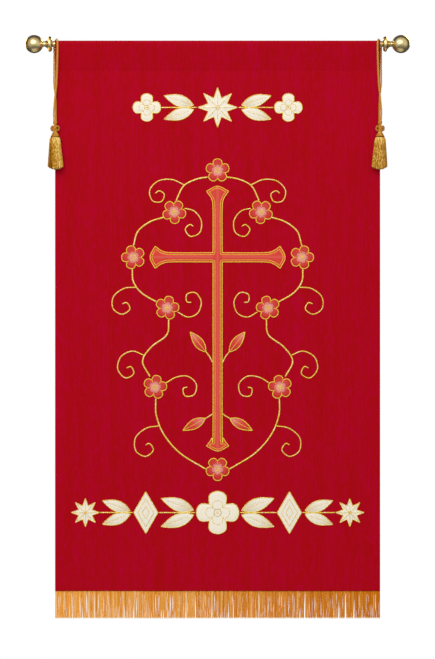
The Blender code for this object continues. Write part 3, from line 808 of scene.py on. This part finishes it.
def makeCord(side, yarn):
    sign = sides[side]
    line = evenLine(smoothLine([(sign * out, y, z) for out, y, z in cordRoute], 0.002), cord["step"])
    radius = cord["diameter"] / 2 * cord["swell"]
    # its plies get painted shade between them, set by groove
    form = rope(
        line, radius, cord["pitch"] * sign, cord["plies"], cord["plyDepth"], corners=18, tone=cord["tone"],
        groove=cord["groove"])
    piece = finishPiece(f"twisted_cord_{side}", form, [yarn], (f"tassel_cord_{side}",), sharp=70.0)
    [tuple(point) for point in line]
    return piece


knot = {
    "place": (0.4568, -0.0073, -0.2155),   # out, y, z of its top
    # along, radius
    "body": (
        (0.0, 0.0050), (0.0016, 0.0059), (0.0050, 0.0062), (0.0085, 0.0058), (0.0115, 0.0042), (0.0135, 0.0036),
        (0.0190, 0.0044), (0.0260, 0.0046), (0.0305, 0.0054), (0.0322, 0.0052),
    ),
    "turnHeight": 0.00165,
    "turnDepth": 0.0006,
    "steps": 36,
    "loopDrop": 0.0222,
    "loopSpread": 0.0066,
    "loopRadius": 0.0042,
    "loopStretch": 1.42,
    "loopCord": 0.0030,
    "loopTilt": 14.0,
}


def makeKnot(side, yarn):
    # wound turns of cord, and a rosette of two loops with a strand crossed over them
    sign = sides[side]
    place = Matrix.Translation((sign * knot["place"][0], knot["place"][1], knot["place"][2]))
    bm = bmesh.new()
    line = smoothLine([(radius, along, 0.0) for along, radius in knot["body"]], 0.00028)
    outline = [(0.0, 0.0)]
    for point in line:
        swell = abs(math.sin(math.pi * point.y / knot["turnHeight"]))
        outline.append((point.x - knot["turnDepth"] * (1 - swell), -point.y))
    outline.append((0.0, -line[-1].y))
    lathe(bm, outline, knot["steps"])
    setTone(bm, 0.0)
    tone = bm.verts.layers.float["yarn"]
    # painted shade: darker in the dips between the wound turns, lighter on their crests
    for vert in bm.verts:
        vert[tone] = 0.08 + 0.38 * abs(math.sin(math.pi * vert.co.z / knot["turnHeight"]))
    for vert in bm.verts:  # each turn climbs a little on its way round
        vert.co.z += 0.0004 * math.sin(math.atan2(vert.co.y, vert.co.x)) * (0 < math.hypot(vert.co.x, vert.co.y))
    for way in (-1, 1):
        ring = []
        for i in range(44):
            angle = math.tau * i / 44
            ring.append(Vector((
                knot["loopRadius"] * math.cos(angle), 0.0, knot["loopRadius"] * knot["loopStretch"] * math.sin(angle))))
        # the loops get painted shade between their plies
        form = rope(
            ring, knot["loopCord"], 0.0095, lobes=3, depth=0.30, closed=True, corners=12, tone=0.44, groove=0.55)
        if way == sign:   # a second turn fills the outer loop
            # the second turn is set dark: painted shade in the loop's hole
            inner = [Vector((point.x * 0.30, 0.0, point.z * 0.42)) for point in ring]
            joinForm(form, rope(evenLine(inner, 0.0006, closed=True), 0.0014, 0.006, closed=True, tone=0.15))
        turn = Matrix.Rotation(math.radians(knot["loopTilt"]) * way, 4, "Z")
        move = Matrix.Translation((way * knot["loopSpread"], 0.0, -knot["loopDrop"]))
        bmesh.ops.transform(form, matrix=move @ turn, verts=form.verts)
        joinForm(bm, form)
    cross = ((-0.0046, -0.0030, -0.0150), (-0.0026, -0.0052, -0.0182), (0.0, -0.0060, -0.0222),
             (0.0026, -0.0052, -0.0262), (0.0046, -0.0030, -0.0294))
    crossed = evenLine(smoothLine([(sign * x, y, z) for x, y, z in cross], 0.001), 0.0009)
    # painted shade between the crossed strand's plies
    joinForm(bm, rope(crossed, 0.0019, 0.0085, lobes=3, depth=0.30, corners=12, tone=0.60, groove=0.5))
    bmesh.ops.transform(bm, matrix=place, verts=bm.verts)
    return finishPiece(f"cord_knot_{side}", bm, [yarn], (f"tassel_knot_{side}",), sharp=70.0)


tassel = {
    "place": (0.4572, -0.0085, -0.2480),
    "backShare": 0.45,
    "frontShare": 0.85,
    "head": ((0.0, 0.0055), (0.0025, 0.0066), (0.0060, 0.0087), (0.0100, 0.0106), (0.0132, 0.0121)),
    "groove": (0.0140, 0.0112, 0.0012),   # along, radius and thickness of the thread that binds the head
    "ribs": 26,
    "ribDepth": 0.0006,
    # down, radius: how the skirt spreads
    "skirt": ((0.0128, 0.0070), (0.0146, 0.0108), (0.0172, 0.0134), (0.0230, 0.0146), (0.0500, 0.0172),
              (0.1060, 0.0222)),
    "rise": 0.0080,
    "leanOut": -0.0020,
    "leanY": -0.0038,
    "shells": ((1.0, 140), (0.84, 110), (0.66, 70), (0.45, 36)),
    "points": 20,
    "yarnRadius": 0.00074,
    "crimp": 0.00085,
    "seed": 21,
}


def curveValue(table, place):
    # reads a short table of (place, value) rows along straight runs
    for (start, low), (end, high) in zip(table, table[1:]):
        if place <= end:
            share = max(0.0, (place - start) / (end - start))
            return low + (high - low) * share
    return table[-1][1]


def tasselPoint(x, y, down):
    depth = tassel["backShare"] if y > 0 else tassel["frontShare"]
    return Vector((x, y * depth, -down))


def tasselYarns(sign):
    # the skirt: crimped yarns in shells, and each one's tone, with painted shade on its outer side and in its inner
    # shells
    draws = random.Random(tassel["seed"] + sign)
    strands, tones = [], []
    full = tassel["skirt"][-1][0]
    for shell, count in tassel["shells"]:
        for i in range(count):
            angle = math.tau * (i + draws.uniform(-0.35, 0.35)) / count
            reach = abs(math.cos(angle)) * shell
            end = full - tassel["rise"] * reach**2 - abs(draws.gauss(0.0, 0.0014))
            drift = draws.uniform(-0.10, 0.10)
            size = shell * draws.uniform(0.955, 1.02)
            crimp = tassel["crimp"] * draws.uniform(0.6, 1.3)
            points, radii = [], []
            for j in range(tassel["points"]):
                share = j / (tassel["points"] - 1)
                down = tassel["skirt"][0][0] + (end - tassel["skirt"][0][0]) * share
                radius = curveValue(tassel["skirt"], down) * size
                turned = angle + drift * share**2
                wave = crimp * draws.uniform(-1.5, 1.5) * fade(share, 0.02, 0.2)
                x = radius * math.cos(turned) - wave * math.sin(turned)
                y = radius * math.sin(turned) + wave * math.cos(turned)
                point = tasselPoint(x, y, down)
                point.x += sign * tassel["leanOut"] * share
                point.y += tassel["leanY"] * share
                points.append(point)
                radii.append(1.0 + draws.uniform(-0.12, 0.12) - 0.35 * (j == tassel["points"] - 1))
            strands.append((points, None, radii))
            # painted shade: the outer side is darker, and the inner shells darker still
            outer = fade(math.cos(angle) * sign + draws.uniform(-0.22, 0.22), 0.05, 0.80)
            tones.append(0.64 - 0.34 * outer - 0.50 * (1 - shell) + draws.uniform(-0.20, 0.18))
    return strands, tones


def setTone(bm, value, along=0.0):
    for name, number in (("yarn", value), ("along", along)):
        layer = bm.verts.layers.float.get(name) or bm.verts.layers.float.new(name)
        for vert in bm.verts:
            vert[layer] = number


def makeTassel(side, yarn):
    sign = sides[side]
    bm = bmesh.new()
    head = [(point.x, -point.y) for point in smoothLine([(r, a, 0.0) for a, r in tassel["head"]], 0.0008)]
    lathe(bm, [(0.0, 0.0), *head, (0.0, head[-1][1])], 4 * tassel["ribs"])
    setTone(bm, 0.5, 0.5)
    tone = bm.verts.layers.float["yarn"]
    for vert in bm.verts:
        angle = math.atan2(vert.co.y, vert.co.x)
        dip = 1 - abs(math.cos(tassel["ribs"] * angle))
        rib = 1 - tassel["ribDepth"] / 0.011 * dip
        # painted shade in the grooves between the ribs and on the outer side, and a painted highlight growing towards
        # the top of the head
        vert[tone] = 0.74 - 0.35 * dip - 0.30 * fade(math.cos(angle) * sign, 0.0, 0.7) + 12.0 * vert.co.z
        vert.co = tasselPoint(vert.co.x * rib, vert.co.y * rib, -vert.co.z)
    along, radius, thick = tassel["groove"]
    for lift in (0.0, 1.5 * thick):
        ring = []
        for i in range(48):
            angle = math.tau * i / 48
            ring.append(tasselPoint(radius * math.cos(angle), radius * math.sin(angle), along - lift * 0.6))
        # the binding thread is set dark, as painted shade in the groove under the head, with painted shade between its
        # plies
        joinForm(bm, rope(ring, thick, 0.006, closed=True, tone=0.18, groove=0.15))
    inner = bmesh.new()   # a plain core that closes the skirt
    end = tassel["skirt"][-1][0] - tassel["rise"] - 0.004
    outline = [(0.0, -0.012)]
    for i in range(9):
        down = 0.0135 + (end - 0.0135) * i / 8
        outline.append((curveValue(tassel["skirt"], down) * 0.5, -down))
    lathe(inner, [*outline, (0.0, -end)], 20)
    for vert in inner.verts:
        share = -vert.co.z / end
        vert.co = tasselPoint(vert.co.x, vert.co.y, -vert.co.z)
        vert.co.y += tassel["leanY"] * share
        vert.co.x += sign * tassel["leanOut"] * share
    # the core is set near black: painted shade inside the skirt
    setTone(inner, 0.05)
    joinForm(bm, inner)
    strands, tones = tasselYarns(sign)
    joinForm(bm, sweptForm(strands, tassel["yarnRadius"], 3, tones=tones))
    bmesh.ops.translate(bm, verts=bm.verts, vec=(sign * tassel["place"][0], tassel["place"][1], tassel["place"][2]))
    print("tassel made:", side, len(strands), "yarns")
    return finishPiece(f"yarn_tassel_{side}", bm, [yarn], (f"tassel_{side}",), sharp=80.0)


# Fringe

fringe = {
    "yarns": 1340,
    "length": 0.0774,
    "points": 11,
    "radius": 0.00070,
    "layers": (0.00145, 0.0020, 0.0026),   # how far each layer lies behind the cloth's plane
    "uneven": 0.0020,
    "clumps": 330,
    "seed": 44,
    "bandHeights": (0.0014, 0.0050, 0.0086),
    "bandRadius": 0.0018,
}


def fringeYarns():
    draws = random.Random(fringe["seed"])
    # each clump has its own lean, bend and tone
    clumps = [(draws.gauss(0.0, 0.0010), draws.gauss(0.0, 0.0005), draws.gauss(0.0, 0.13))
              for _ in range(fringe["clumps"])]
    strands, tones = [], []
    width = cloth["width"] - 0.0016
    for i in range(fringe["yarns"]):
        share = (i + draws.uniform(-0.3, 0.3)) / (fringe["yarns"] - 1)
        x = (min(max(share, 0.0), 1.0) - 0.5) * width
        lean, sag, tone = clumps[int(min(max(share + draws.gauss(0.0, 0.0009), 0.0), 0.999) * len(clumps))]
        lean += draws.gauss(0.0, 0.0009)
        depth = fringe["layers"][i % len(fringe["layers"])]
        length = fringe["length"] - abs(draws.gauss(0.0, 0.4)) * fringe["uneven"]
        wave, phase = sag + draws.gauss(0.0, 0.00025), draws.uniform(-0.5, 0.5)
        cycles = draws.uniform(0.45, 0.8)
        points, radii = [], []
        for j in range(fringe["points"]):
            along = j / (fringe["points"] - 1)
            bend = wave * math.sin(math.tau * cycles * along + phase) * fade(along, 0.0, 0.25)
            z = 0.003 - (length + 0.003) * along
            px = min(max(x + lean * along + bend, -width / 2), width / 2)
            py = depth + clothSway(px, -cloth["drop"]) + 0.35 * bend
            points.append(Vector((px, py, z - cloth["drop"])))
            radii.append(1.0 + draws.uniform(-0.15, 0.15) + 0.25 * (j == fringe["points"] - 1))
        strands.append((points, None, radii))
        tones.append(min(max(0.5 + tone + draws.gauss(0.0, 0.16), 0.02), 1.0))
    return strands, tones


def makeFringe(yarn):
    strands, tones = fringeYarns()
    bm = sweptForm(strands, fringe["radius"], 4, tones=tones)
    half = cloth["width"] / 2 - fringe["bandRadius"]
    count = round(2 * half / 0.0014)
    for row, height in enumerate(fringe["bandHeights"]):   # the woven heading, sewn behind the hem
        line = []
        for i in range(count + 1):
            x = -half + 2 * half * i / count
            y = clothSway(x, -cloth["drop"]) + cloth["thickness"] / 2 + 0.0004 + fringe["bandRadius"] * 0.62
            line.append(Vector((x, y, height - cloth["drop"])))
        # painted shade between the heading's plies
        form = rope(line, fringe["bandRadius"], 0.0098 * (-1) ** row, depth=0.35, tone=0.45, groove=0.3)
        for vert in form.verts:
            middle = clothSway(vert.co.x, -cloth["drop"]) + cloth["thickness"] / 2 + 0.0004 + fringe["bandRadius"] * 0.62
            vert.co.y = middle + (vert.co.y - middle) * 0.6
        joinForm(bm, form)
    print("fringe made:", len(strands), "yarns")
    return finishPiece("gold_fringe", bm, [yarn], ("fringe",), sharp=80.0)


# Motifs in satin stitch, each worked over the outline of its own cut piece

needlework = {
    "gapUnder": 0.00005,     # between a motif and the cloth
    "base": 0.0015,          # height of a motif's edge over the cloth
    "cell": 0.0022,
    "outlineStep": 0.0013,
    "forms": {
        # corner: the least turn that stays sharp, in degrees; crown: padding; rise: how far in it rises
        "leaf": {"corner": 50, "crown": 0.0011, "rise": 0.009, "lengthwise": True},
        "star": {"corner": 25, "crown": 0.0016, "rise": 0.014},
        "quatrefoil": {"corner": 70, "crown": 0.0013, "rise": 0.009},
        "blossom": {"corner": 70, "crown": 0.0014, "rise": 0.008},
        "lozenge": {"corner": 50, "crown": 0.0012, "rise": 0.012},
        "cross": {"corner": 50, "crown": 0.0012, "rise": 0.012},
    },
    "rimRadius": 0.00140,
    "rimPitch": 0.0066,
    "rimStep": 0.0009,
    "crossHalf": 0.0124,     # half the width of the cross's upright
    "veinRadius": 0.00080,
    "veinPitch": 0.0050,
    "veinStep": 0.0008,
}


def nodeOutline(node):
    # the outline of a cut piece's front, as (x, 0, z) points in order, anticlockwise seen from the front
    bm = bmesh.new()
    bm.from_mesh(bpy.data.objects[node].data)
    bmesh.ops.remove_doubles(bm, verts=bm.verts, dist=weld)
    bm.normal_update()
    front = {face for face in bm.faces if face.normal.y < -0.9}
    rim = [edge for edge in bm.edges if sum(face in front for face in edge.link_faces) == 1]
    beside = {}
    for edge in rim:
        for vert, other in (edge.verts, reversed(edge.verts)):
            beside.setdefault(vert, []).append(other)
    start = min(beside, key=lambda vert: (round(vert.co.z, 5), round(vert.co.x, 5)))
    loop, last, here = [start], None, start
    while True:
        onward = [vert for vert in beside[here] if vert is not last][0]
        if onward is start:
            break
        loop.append(onward)
        last, here = here, onward
    points = [Vector((vert.co.x, 0.0, vert.co.z)) for vert in loop]
    bm.free()
    area = sum(a.x * b.z - b.x * a.z for a, b in zip(points, points[1:] + points[:1]))
    return points if area > 0 else points[::-1]


def turnAt(before, point, after):
    # how far the outline turns at a point, in degrees, plus for outward corners
    first, second = point - before, after - point
    return math.degrees(math.atan2(first.x * second.z - first.z * second.x, first.x * second.x + first.z * second.z))


def smoothOutline(points, corner):
    # a fine outline that keeps its corners, and where those are
    kept = [p for i, p in enumerate(points) if abs(turnAt(points[i - 1], p, points[(i + 1) % len(points)])) > 1.0]
    count = len(kept)
    turns = [turnAt(kept[i - 1], kept[i], kept[(i + 1) % count]) for i in range(count)]
    sharp = [i for i, turn in enumerate(turns) if turn > corner or turn < -min(corner, 30)]
    outline, corners = [], []
    for a, b in zip(sharp, sharp[1:] + [sharp[0] + count]):
        run = [kept[i % count] for i in range(a, b + 1)]
        line = evenLine(smoothLine(run, needlework["outlineStep"] / 2), needlework["outlineStep"])
        corners.append((run[0], turns[a % count]))
        outline += line[:-1]
    return outline, corners


def motifGuide(node):
    form = node.split("_")[0]
    rule = needlework["forms"][form]
    outline, corners = smoothOutline(nodeOutline(node), rule["corner"])
    if form in ("cross", "blossom", "quatrefoil"):
        inner = [point for point, turn in corners if turn < 0]
    else:
        inner = [point for point, turn in corners if turn > 0]
    centre = sum(inner, Vector()) / len(inner)
    tree = KDTree(len(outline))
    for i, point in enumerate(outline):
        tree.insert(point, i)
    tree.balance()
    tips = [point for point, turn in corners if turn > 0]
    if form == "leaf":
        axis = (tips[1] - tips[0]).normalized()
        if axis.z < 0:
            axis = -axis
    elif form in ("blossom", "quatrefoil"):
        axis = (inner[0] - centre).normalized()
    elif form == "star":
        axis = (tips[0] - centre).normalized()
    else:
        axis = Vector((0.0, 0.0, 1.0))
    reach = max((point - centre).length for point in outline)
    return {"form": form, "rule": rule, "outline": outline, "corners": corners, "centre": centre, "tree": tree,
            "axis": axis, "reach": reach, "notches": [point for point, turn in corners if turn < 0], "tips": tips}


def nearestWay(offset, ways):
    # the one of several directions from the centre that lies closest to an offset
    return max(ways, key=lambda way: way.dot(offset))


def motifRelief(guide, point):
    # height over the motif's edge, the thread coordinate, and the shade for its colour: a painted highlight along the
    # raised ridges of stars and crosses, elsewhere a plain gradient
    rule, form = guide["rule"], guide["form"]
    inward = (guide["tree"].find(point)[0] - point).length
    offset = point - guide["centre"]
    axis = guide["axis"]
    across = Vector((axis.z, 0.0, -axis.x))
    u, v = offset.dot(axis), offset.dot(across)
    height = rule["crown"] * fade(inward, 0.0, rule["rise"])
    if form == "leaf":
        height -= 0.0007 * math.exp(-(v / 0.0016) ** 2)
        height -= 0.0002 * (0.5 + 0.5 * math.cos(math.tau * (u - 1.1 * abs(v)) / 0.011)) ** 3
        return height, u - 1.1 * abs(v), 0.35 + 0.5 * (u / guide["reach"])
    if form == "lozenge":
        first, second = u + v / 0.58, u - v / 0.58
        quilt = max(math.cos(math.tau * first / 0.0295 + math.pi), math.cos(math.tau * second / 0.0295 + math.pi))
        height -= 0.0005 * max(0.0, quilt) ** 6
        return height, u, 0.6 - 0.25 * abs(u) / guide["reach"]
    if form == "cross":
        # the upright runs through, and the arms start at its sides
        upright = abs(offset.z) > abs(offset.x) or abs(offset.x) < needlework["crossHalf"]
        along, side = (offset.z, offset.x) if upright else (offset.x, offset.z)
        height += 0.0005 * math.exp(-(side / 0.0030) ** 2)
        # painted highlight: lighter along the raised ridge down the middle of each arm
        return height, along, 0.28 + 0.14 * math.exp(-(side / 0.0040) ** 2)
    if form == "star":
        ways = [(tip - guide["centre"]).normalized() for tip in guide["tips"]]
        tip = nearestWay(offset, ways)
        side = abs(offset.cross(tip).y)
        height *= 1.0 - 0.55 * min(1.0, side / 0.009)
        # painted highlight: lighter along each ray's raised middle, darker towards its sides
        return height, offset.dot(tip) + 0.8 * side, 0.75 - 0.5 * min(1.0, side / 0.010)
    ways = [(notch - guide["centre"]).normalized() for notch in guide["notches"]]
    notch = nearestWay(offset, ways)
    side = offset.cross(notch).y
    dip = math.exp(-(side / 0.0021) ** 2) * (offset.length > 0.001)
    height -= 0.0009 * dip
    glow = 1.0 - fade(offset.length, 0.20 * guide["reach"], 0.82 * guide["reach"])
    if form == "quatrefoil":
        glow = 0.35 + 0.5 * glow
    return max(height, 0.0), None, glow


def motifSurface(guide, x, z, lift=0.0):
    # a point on the motif's worked surface
    height = motifRelief(guide, Vector((x, 0.0, z)))[0]
    y = clothFront(x, z) - needlework["gapUnder"] - needlework["base"] - height - lift
    return Vector((x, y, z))


def motifBody(guide):
    # the padded piece: its front cut into small cells, raised, and its edge taken down to the cloth
    bm = bmesh.new()
    bm.faces.new([bm.verts.new(point) for point in guide["outline"]])
    low = [min(point[k] for point in guide["outline"]) for k in (0, 2)]
    high = [max(point[k] for point in guide["outline"]) for k in (0, 2)]
    for start, end, normal in zip(low, high, (Vector((1, 0, 0)), Vector((0, 0, 1)))):
        cuts = int((end - start) / needlework["cell"])
        for i in range(1, cuts):
            place = start + (end - start) * (i + 0.013) / cuts
            bmesh.ops.bisect_plane(
                bm, geom=bm.verts[:] + bm.edges[:] + bm.faces[:], dist=1e-7, plane_co=normal * place, plane_no=normal)
    bmesh.ops.remove_doubles(bm, verts=bm.verts, dist=0.00002)
    bm.normal_update()
    if sum(face.normal.y for face in bm.faces) > 0:
        bmesh.ops.reverse_faces(bm, faces=bm.faces)
    stitch, shade, spokeX, spokeZ = [bm.verts.layers.float.new(n) for n in ("stitch", "shade", "spokeX", "spokeZ")]
    for vert in bm.verts:
        height, thread, tone = motifRelief(guide, vert.co)
        offset = vert.co - guide["centre"] if thread is None else Vector((0.0, 0.0, 1.0))
        vert[spokeX], vert[spokeZ] = offset.x, offset.z
        vert[stitch] = thread or 0.0
        vert[shade] = tone
        vert.co.y = clothFront(vert.co.x, vert.co.z) - needlework["gapUnder"] - needlework["base"] - height
    rim = [edge for edge in bm.edges if edge.is_boundary]
    made = bmesh.ops.extrude_edge_only(bm, edges=rim)["geom"]
    for vert in made:
        if isinstance(vert, bmesh.types.BMVert):
            vert.co.y = clothFront(vert.co.x, vert.co.z) - needlework["gapUnder"]
    open_edges = [edge for edge in bm.edges if edge.is_boundary]
    bmesh.ops.holes_fill(bm, edges=open_edges, sides=0)
    return bm


def scaledOutline(guide, share):
    centre = guide["centre"]
    return evenLine([centre + (p - centre) * share for p in guide["outline"]], needlework["veinStep"], closed=True)


def onSurface(guide, points, lift):
    return [motifSurface(guide, point.x, point.z, lift) for point in points]


def straightRun(start, end, shares):
    return evenLine([start.lerp(end, share) for share in shares], needlework["veinStep"])


def insetOutline(guide, inset):
    # a line inside the outline, at an even distance from it
    outline = guide["outline"]
    points = []
    for i, point in enumerate(outline):
        way = outline[(i + 1) % len(outline)] - outline[i - 1]
        moved = point + Vector((-way.z, 0.0, way.x)).normalized() * inset
        if (guide["tree"].find(moved)[0] - moved).length > 0.97 * inset:
            points.append(moved)
    return evenLine(points, needlework["veinStep"], closed=True)


def motifLines(guide):
    # raised details on each form: (points, closed, radius, material index)
    form, centre, axis = guide["form"], guide["centre"], guide["axis"]
    thin = needlework["veinRadius"]
    lines = []
    if form == "leaf":
        run = straightRun(centre, centre + axis * guide["reach"], (-0.86, 0.66))
        lines.append((onSurface(guide, run, -0.0001), False, thin, 2))
    elif form == "star":
        for tip in guide["tips"]:
            lines.append((onSurface(guide, straightRun(centre, tip, (0.14, 0.84)), 0.0), False, thin, 2))
        lines.append((onSurface(guide, ringPoints(centre, 0.10 * guide["reach"]), 0.0002), True, 0.0010, 2))
    elif form in ("blossom", "quatrefoil"):
        for notch in guide["notches"]:
            lines.append((onSurface(guide, straightRun(centre, notch, (0.34, 0.97)), -0.0001), False, thin, 2))
        lines.append((onSurface(guide, scaledOutline(guide, 0.56), 0.0), True, thin, 2 if form == "quatrefoil" else 3))
        lines.append((onSurface(guide, ringPoints(centre, 0.17 * guide["reach"]), 0.0002), True, 0.0010, 2))
    elif form == "lozenge":
        for share in (0.30, 0.66):
            lines.append((onSurface(guide, scaledOutline(guide, share), 0.0), True, thin, 2))
    elif form == "cross":
        lines.append((onSurface(guide, insetOutline(guide, 0.0056), 0.0), True, thin, 2))
    return lines


def ringPoints(centre, radius, count=40):
    return [centre + Vector((math.cos(math.tau * i / count), 0.0, math.sin(math.tau * i / count))) * radius
            for i in range(count)]


def addKnots(bm, guide, radius, spread, count, materialIndex):
    # French knots at a motif's middle
    spots = [guide["centre"]] + ringPoints(guide["centre"], spread, count)
    for spot in spots:
        form = bmesh.new()
        bmesh.ops.create_icosphere(form, subdivisions=2, radius=radius)
        bmesh.ops.scale(form, verts=form.verts, vec=(1.0, 0.75, 1.0))
        bmesh.ops.translate(form, verts=form.verts, vec=motifSurface(guide, spot.x, spot.z, radius * 0.35))
        joinForm(bm, form, materialIndex)


def makeMotif(node, materials):
    guide = motifGuide(node)
    bm = motifBody(guide)
    rimLine = [Vector((p.x, clothFront(p.x, p.z) - needlework["base"] * 0.78, p.z)) for p in guide["outline"]]
    rounded = [(rimLine[i - 1] + rimLine[i] * 2 + rimLine[(i + 1) % len(rimLine)]) / 4 for i in range(len(rimLine))]
    rounded = evenLine(rounded, needlework["rimStep"], closed=True)
    joinForm(bm, rope(rounded, needlework["rimRadius"], needlework["rimPitch"], closed=True), 1)
    for points, closed, radius, index in motifLines(guide):
        joinForm(bm, rope(points, radius, needlework["veinPitch"], closed=closed, corners=6), index)
    if guide["form"] in ("blossom", "quatrefoil", "star"):
        addKnots(bm, guide, 0.0011, 0.062 * guide["reach"], 6, 2)
    return finishPiece(f"stitched_{node}", bm, materials, (node,), sharp=50.0, recalculate=False)


# Couched gold lines. Points are (x, z) on the right half; each line is worked on both halves.

goldLines = {
    "flatness": 0.62,
    "pitch": 0.0110,
    "step": 0.0011,
    "stems": {
        "crown_to_upper": ((0.027, -0.374), (0.062, -0.381), (0.096, -0.400), (0.117, -0.441)),
        "upper_to_arm": ((0.150, -0.487), (0.190, -0.500), (0.224, -0.527), (0.237, -0.568)),
        "arm_to_lower": ((0.240, -0.632), (0.237, -0.668), (0.214, -0.700), (0.171, -0.726)),
        "lower_to_stem": ((0.137, -0.775), (0.143, -0.818), (0.186, -0.852), (0.211, -0.892), (0.190, -0.936)),
        "stem_to_foot": ((0.174, -0.998), (0.172, -1.046), (0.150, -1.100), (0.104, -1.152), (0.033, -1.196)),
    },
    "tendrils": {
        "upper_out": ((0.092, -0.397), (0.130, -0.381), (0.168, -0.386), (0.191, -0.412), (0.183, -0.441),
                      (0.158, -0.443), (0.150, -0.423), (0.164, -0.413), (0.175, -0.420)),
        "upper_in": ((0.094, -0.462), (0.066, -0.470), (0.046, -0.497), (0.050, -0.530), (0.076, -0.541),
                     (0.091, -0.522), (0.079, -0.508), (0.068, -0.513)),
        "arm_out": ((0.228, -0.684), (0.264, -0.688), (0.293, -0.711), (0.294, -0.744), (0.269, -0.760),
                    (0.247, -0.746), (0.255, -0.728), (0.268, -0.731)),
        "lower_in": ((0.112, -0.754), (0.084, -0.768), (0.056, -0.757), (0.046, -0.726), (0.062, -0.700),
                     (0.086, -0.704), (0.087, -0.724), (0.074, -0.727)),
        "stem_out": ((0.206, -0.876), (0.240, -0.864), (0.272, -0.880), (0.281, -0.914), (0.260, -0.939),
                     (0.236, -0.928), (0.243, -0.908), (0.256, -0.911)),
        "stem_in": ((0.146, -0.954), (0.116, -0.937), (0.083, -0.935), (0.060, -0.957), (0.066, -0.986),
                    (0.091, -0.990), (0.097, -0.970), (0.085, -0.965)),
        "foot_out": ((0.164, -1.074), (0.201, -1.081), (0.231, -1.108), (0.230, -1.144), (0.203, -1.160),
                     (0.181, -1.143), (0.191, -1.124), (0.203, -1.128)),
        "upper_leaf": ((0.014, -0.896), (0.022, -0.880), (0.035, -0.863)),
        "lower_leaf": ((0.014, -1.040), (0.022, -1.046), (0.036, -1.054)),
        "top_branch": ((0.059, -0.1785), (0.095, -0.1785), (0.130, -0.1785), (0.159, -0.1785)),
        "foot_branch": ((0.063, -1.3180), (0.098, -1.3180), (0.133, -1.3180), (0.166, -1.3180)),
        "outer_branch": ((0.238, -1.3180), (0.270, -1.3180), (0.300, -1.3180), (0.331, -1.3180)),
    },
    "stemRadius": 0.0023,
    "tendrilRadius": 0.0018,
}


def makeGoldLines(side, gold):
    sign = sides[side]
    bm = bmesh.new()
    for group, radius in (("stems", goldLines["stemRadius"]), ("tendrils", goldLines["tendrilRadius"])):
        strands = []
        for points in goldLines[group].values():
            line = evenLine(smoothLine([(sign * x, 0.0, z) for x, z in points], 0.003), goldLines["step"])
            ends = [min(1.0, 0.45 + 0.2 * min(i, len(line) - 1 - i)) for i in range(len(line))]
            strands.append((line, twistTilts(line, goldLines["pitch"] * sign, False), ends))
        form = sweptForm(strands, radius, 10, 3, 0.30 * radius)
        for vert in form.verts:
            lie = clothFront(vert.co.x, vert.co.z) - radius * goldLines["flatness"] * 0.8
            vert.co.y = lie + vert.co.y * goldLines["flatness"]
        joinForm(bm, form)
    return finishPiece(f"couched_gold_lines_{side}", bm, [gold], sharp=70.0)


# Making

addCamera()
addLights()
addRoom()
addFloor()
print("camera, lights and floor set")

cordYarn, tasselYarn, fringeYarn = [makeYarn(name) for name in yarns]
brassMetal = makeBrass()

for sideName in sides:
    makeCord(sideName, cordYarn)
print("cords made")

clothPiece = makeCloth()
stitches = makeStitches()
fringePiece = makeFringe(fringeYarn)
makeRod(brassMetal)
for sideName in sides:
    makeFinial(sideName, brassMetal)
    makeKnot(sideName, cordYarn)
    makeTassel(sideName, tasselYarn)
print("rod, finials, knots and tassels made")

creamWork = makeStitchedSatin("cream_satin_stitch", stitchWork["cream"])
coralWork = makeStitchedSatin("coral_satin_stitch", stitchWork["coral"])
metalGold = makeGoldWithPaintedGlints()
rimThread = makeThread("yellow_rim_thread")
darkCoral = makeThread("dark_coral_thread")
for row in frame["record"]["subparts"]:
    if row["material_slot"] == "cream_satin":
        makeMotif(row["node"], [creamWork, metalGold, metalGold, metalGold])
    elif row["material_slot"] == "coral_satin":
        makeMotif(row["node"], [coralWork, rimThread, rimThread, darkCoral])

lines = [makeGoldLines(sideName, metalGold) for sideName in sides]
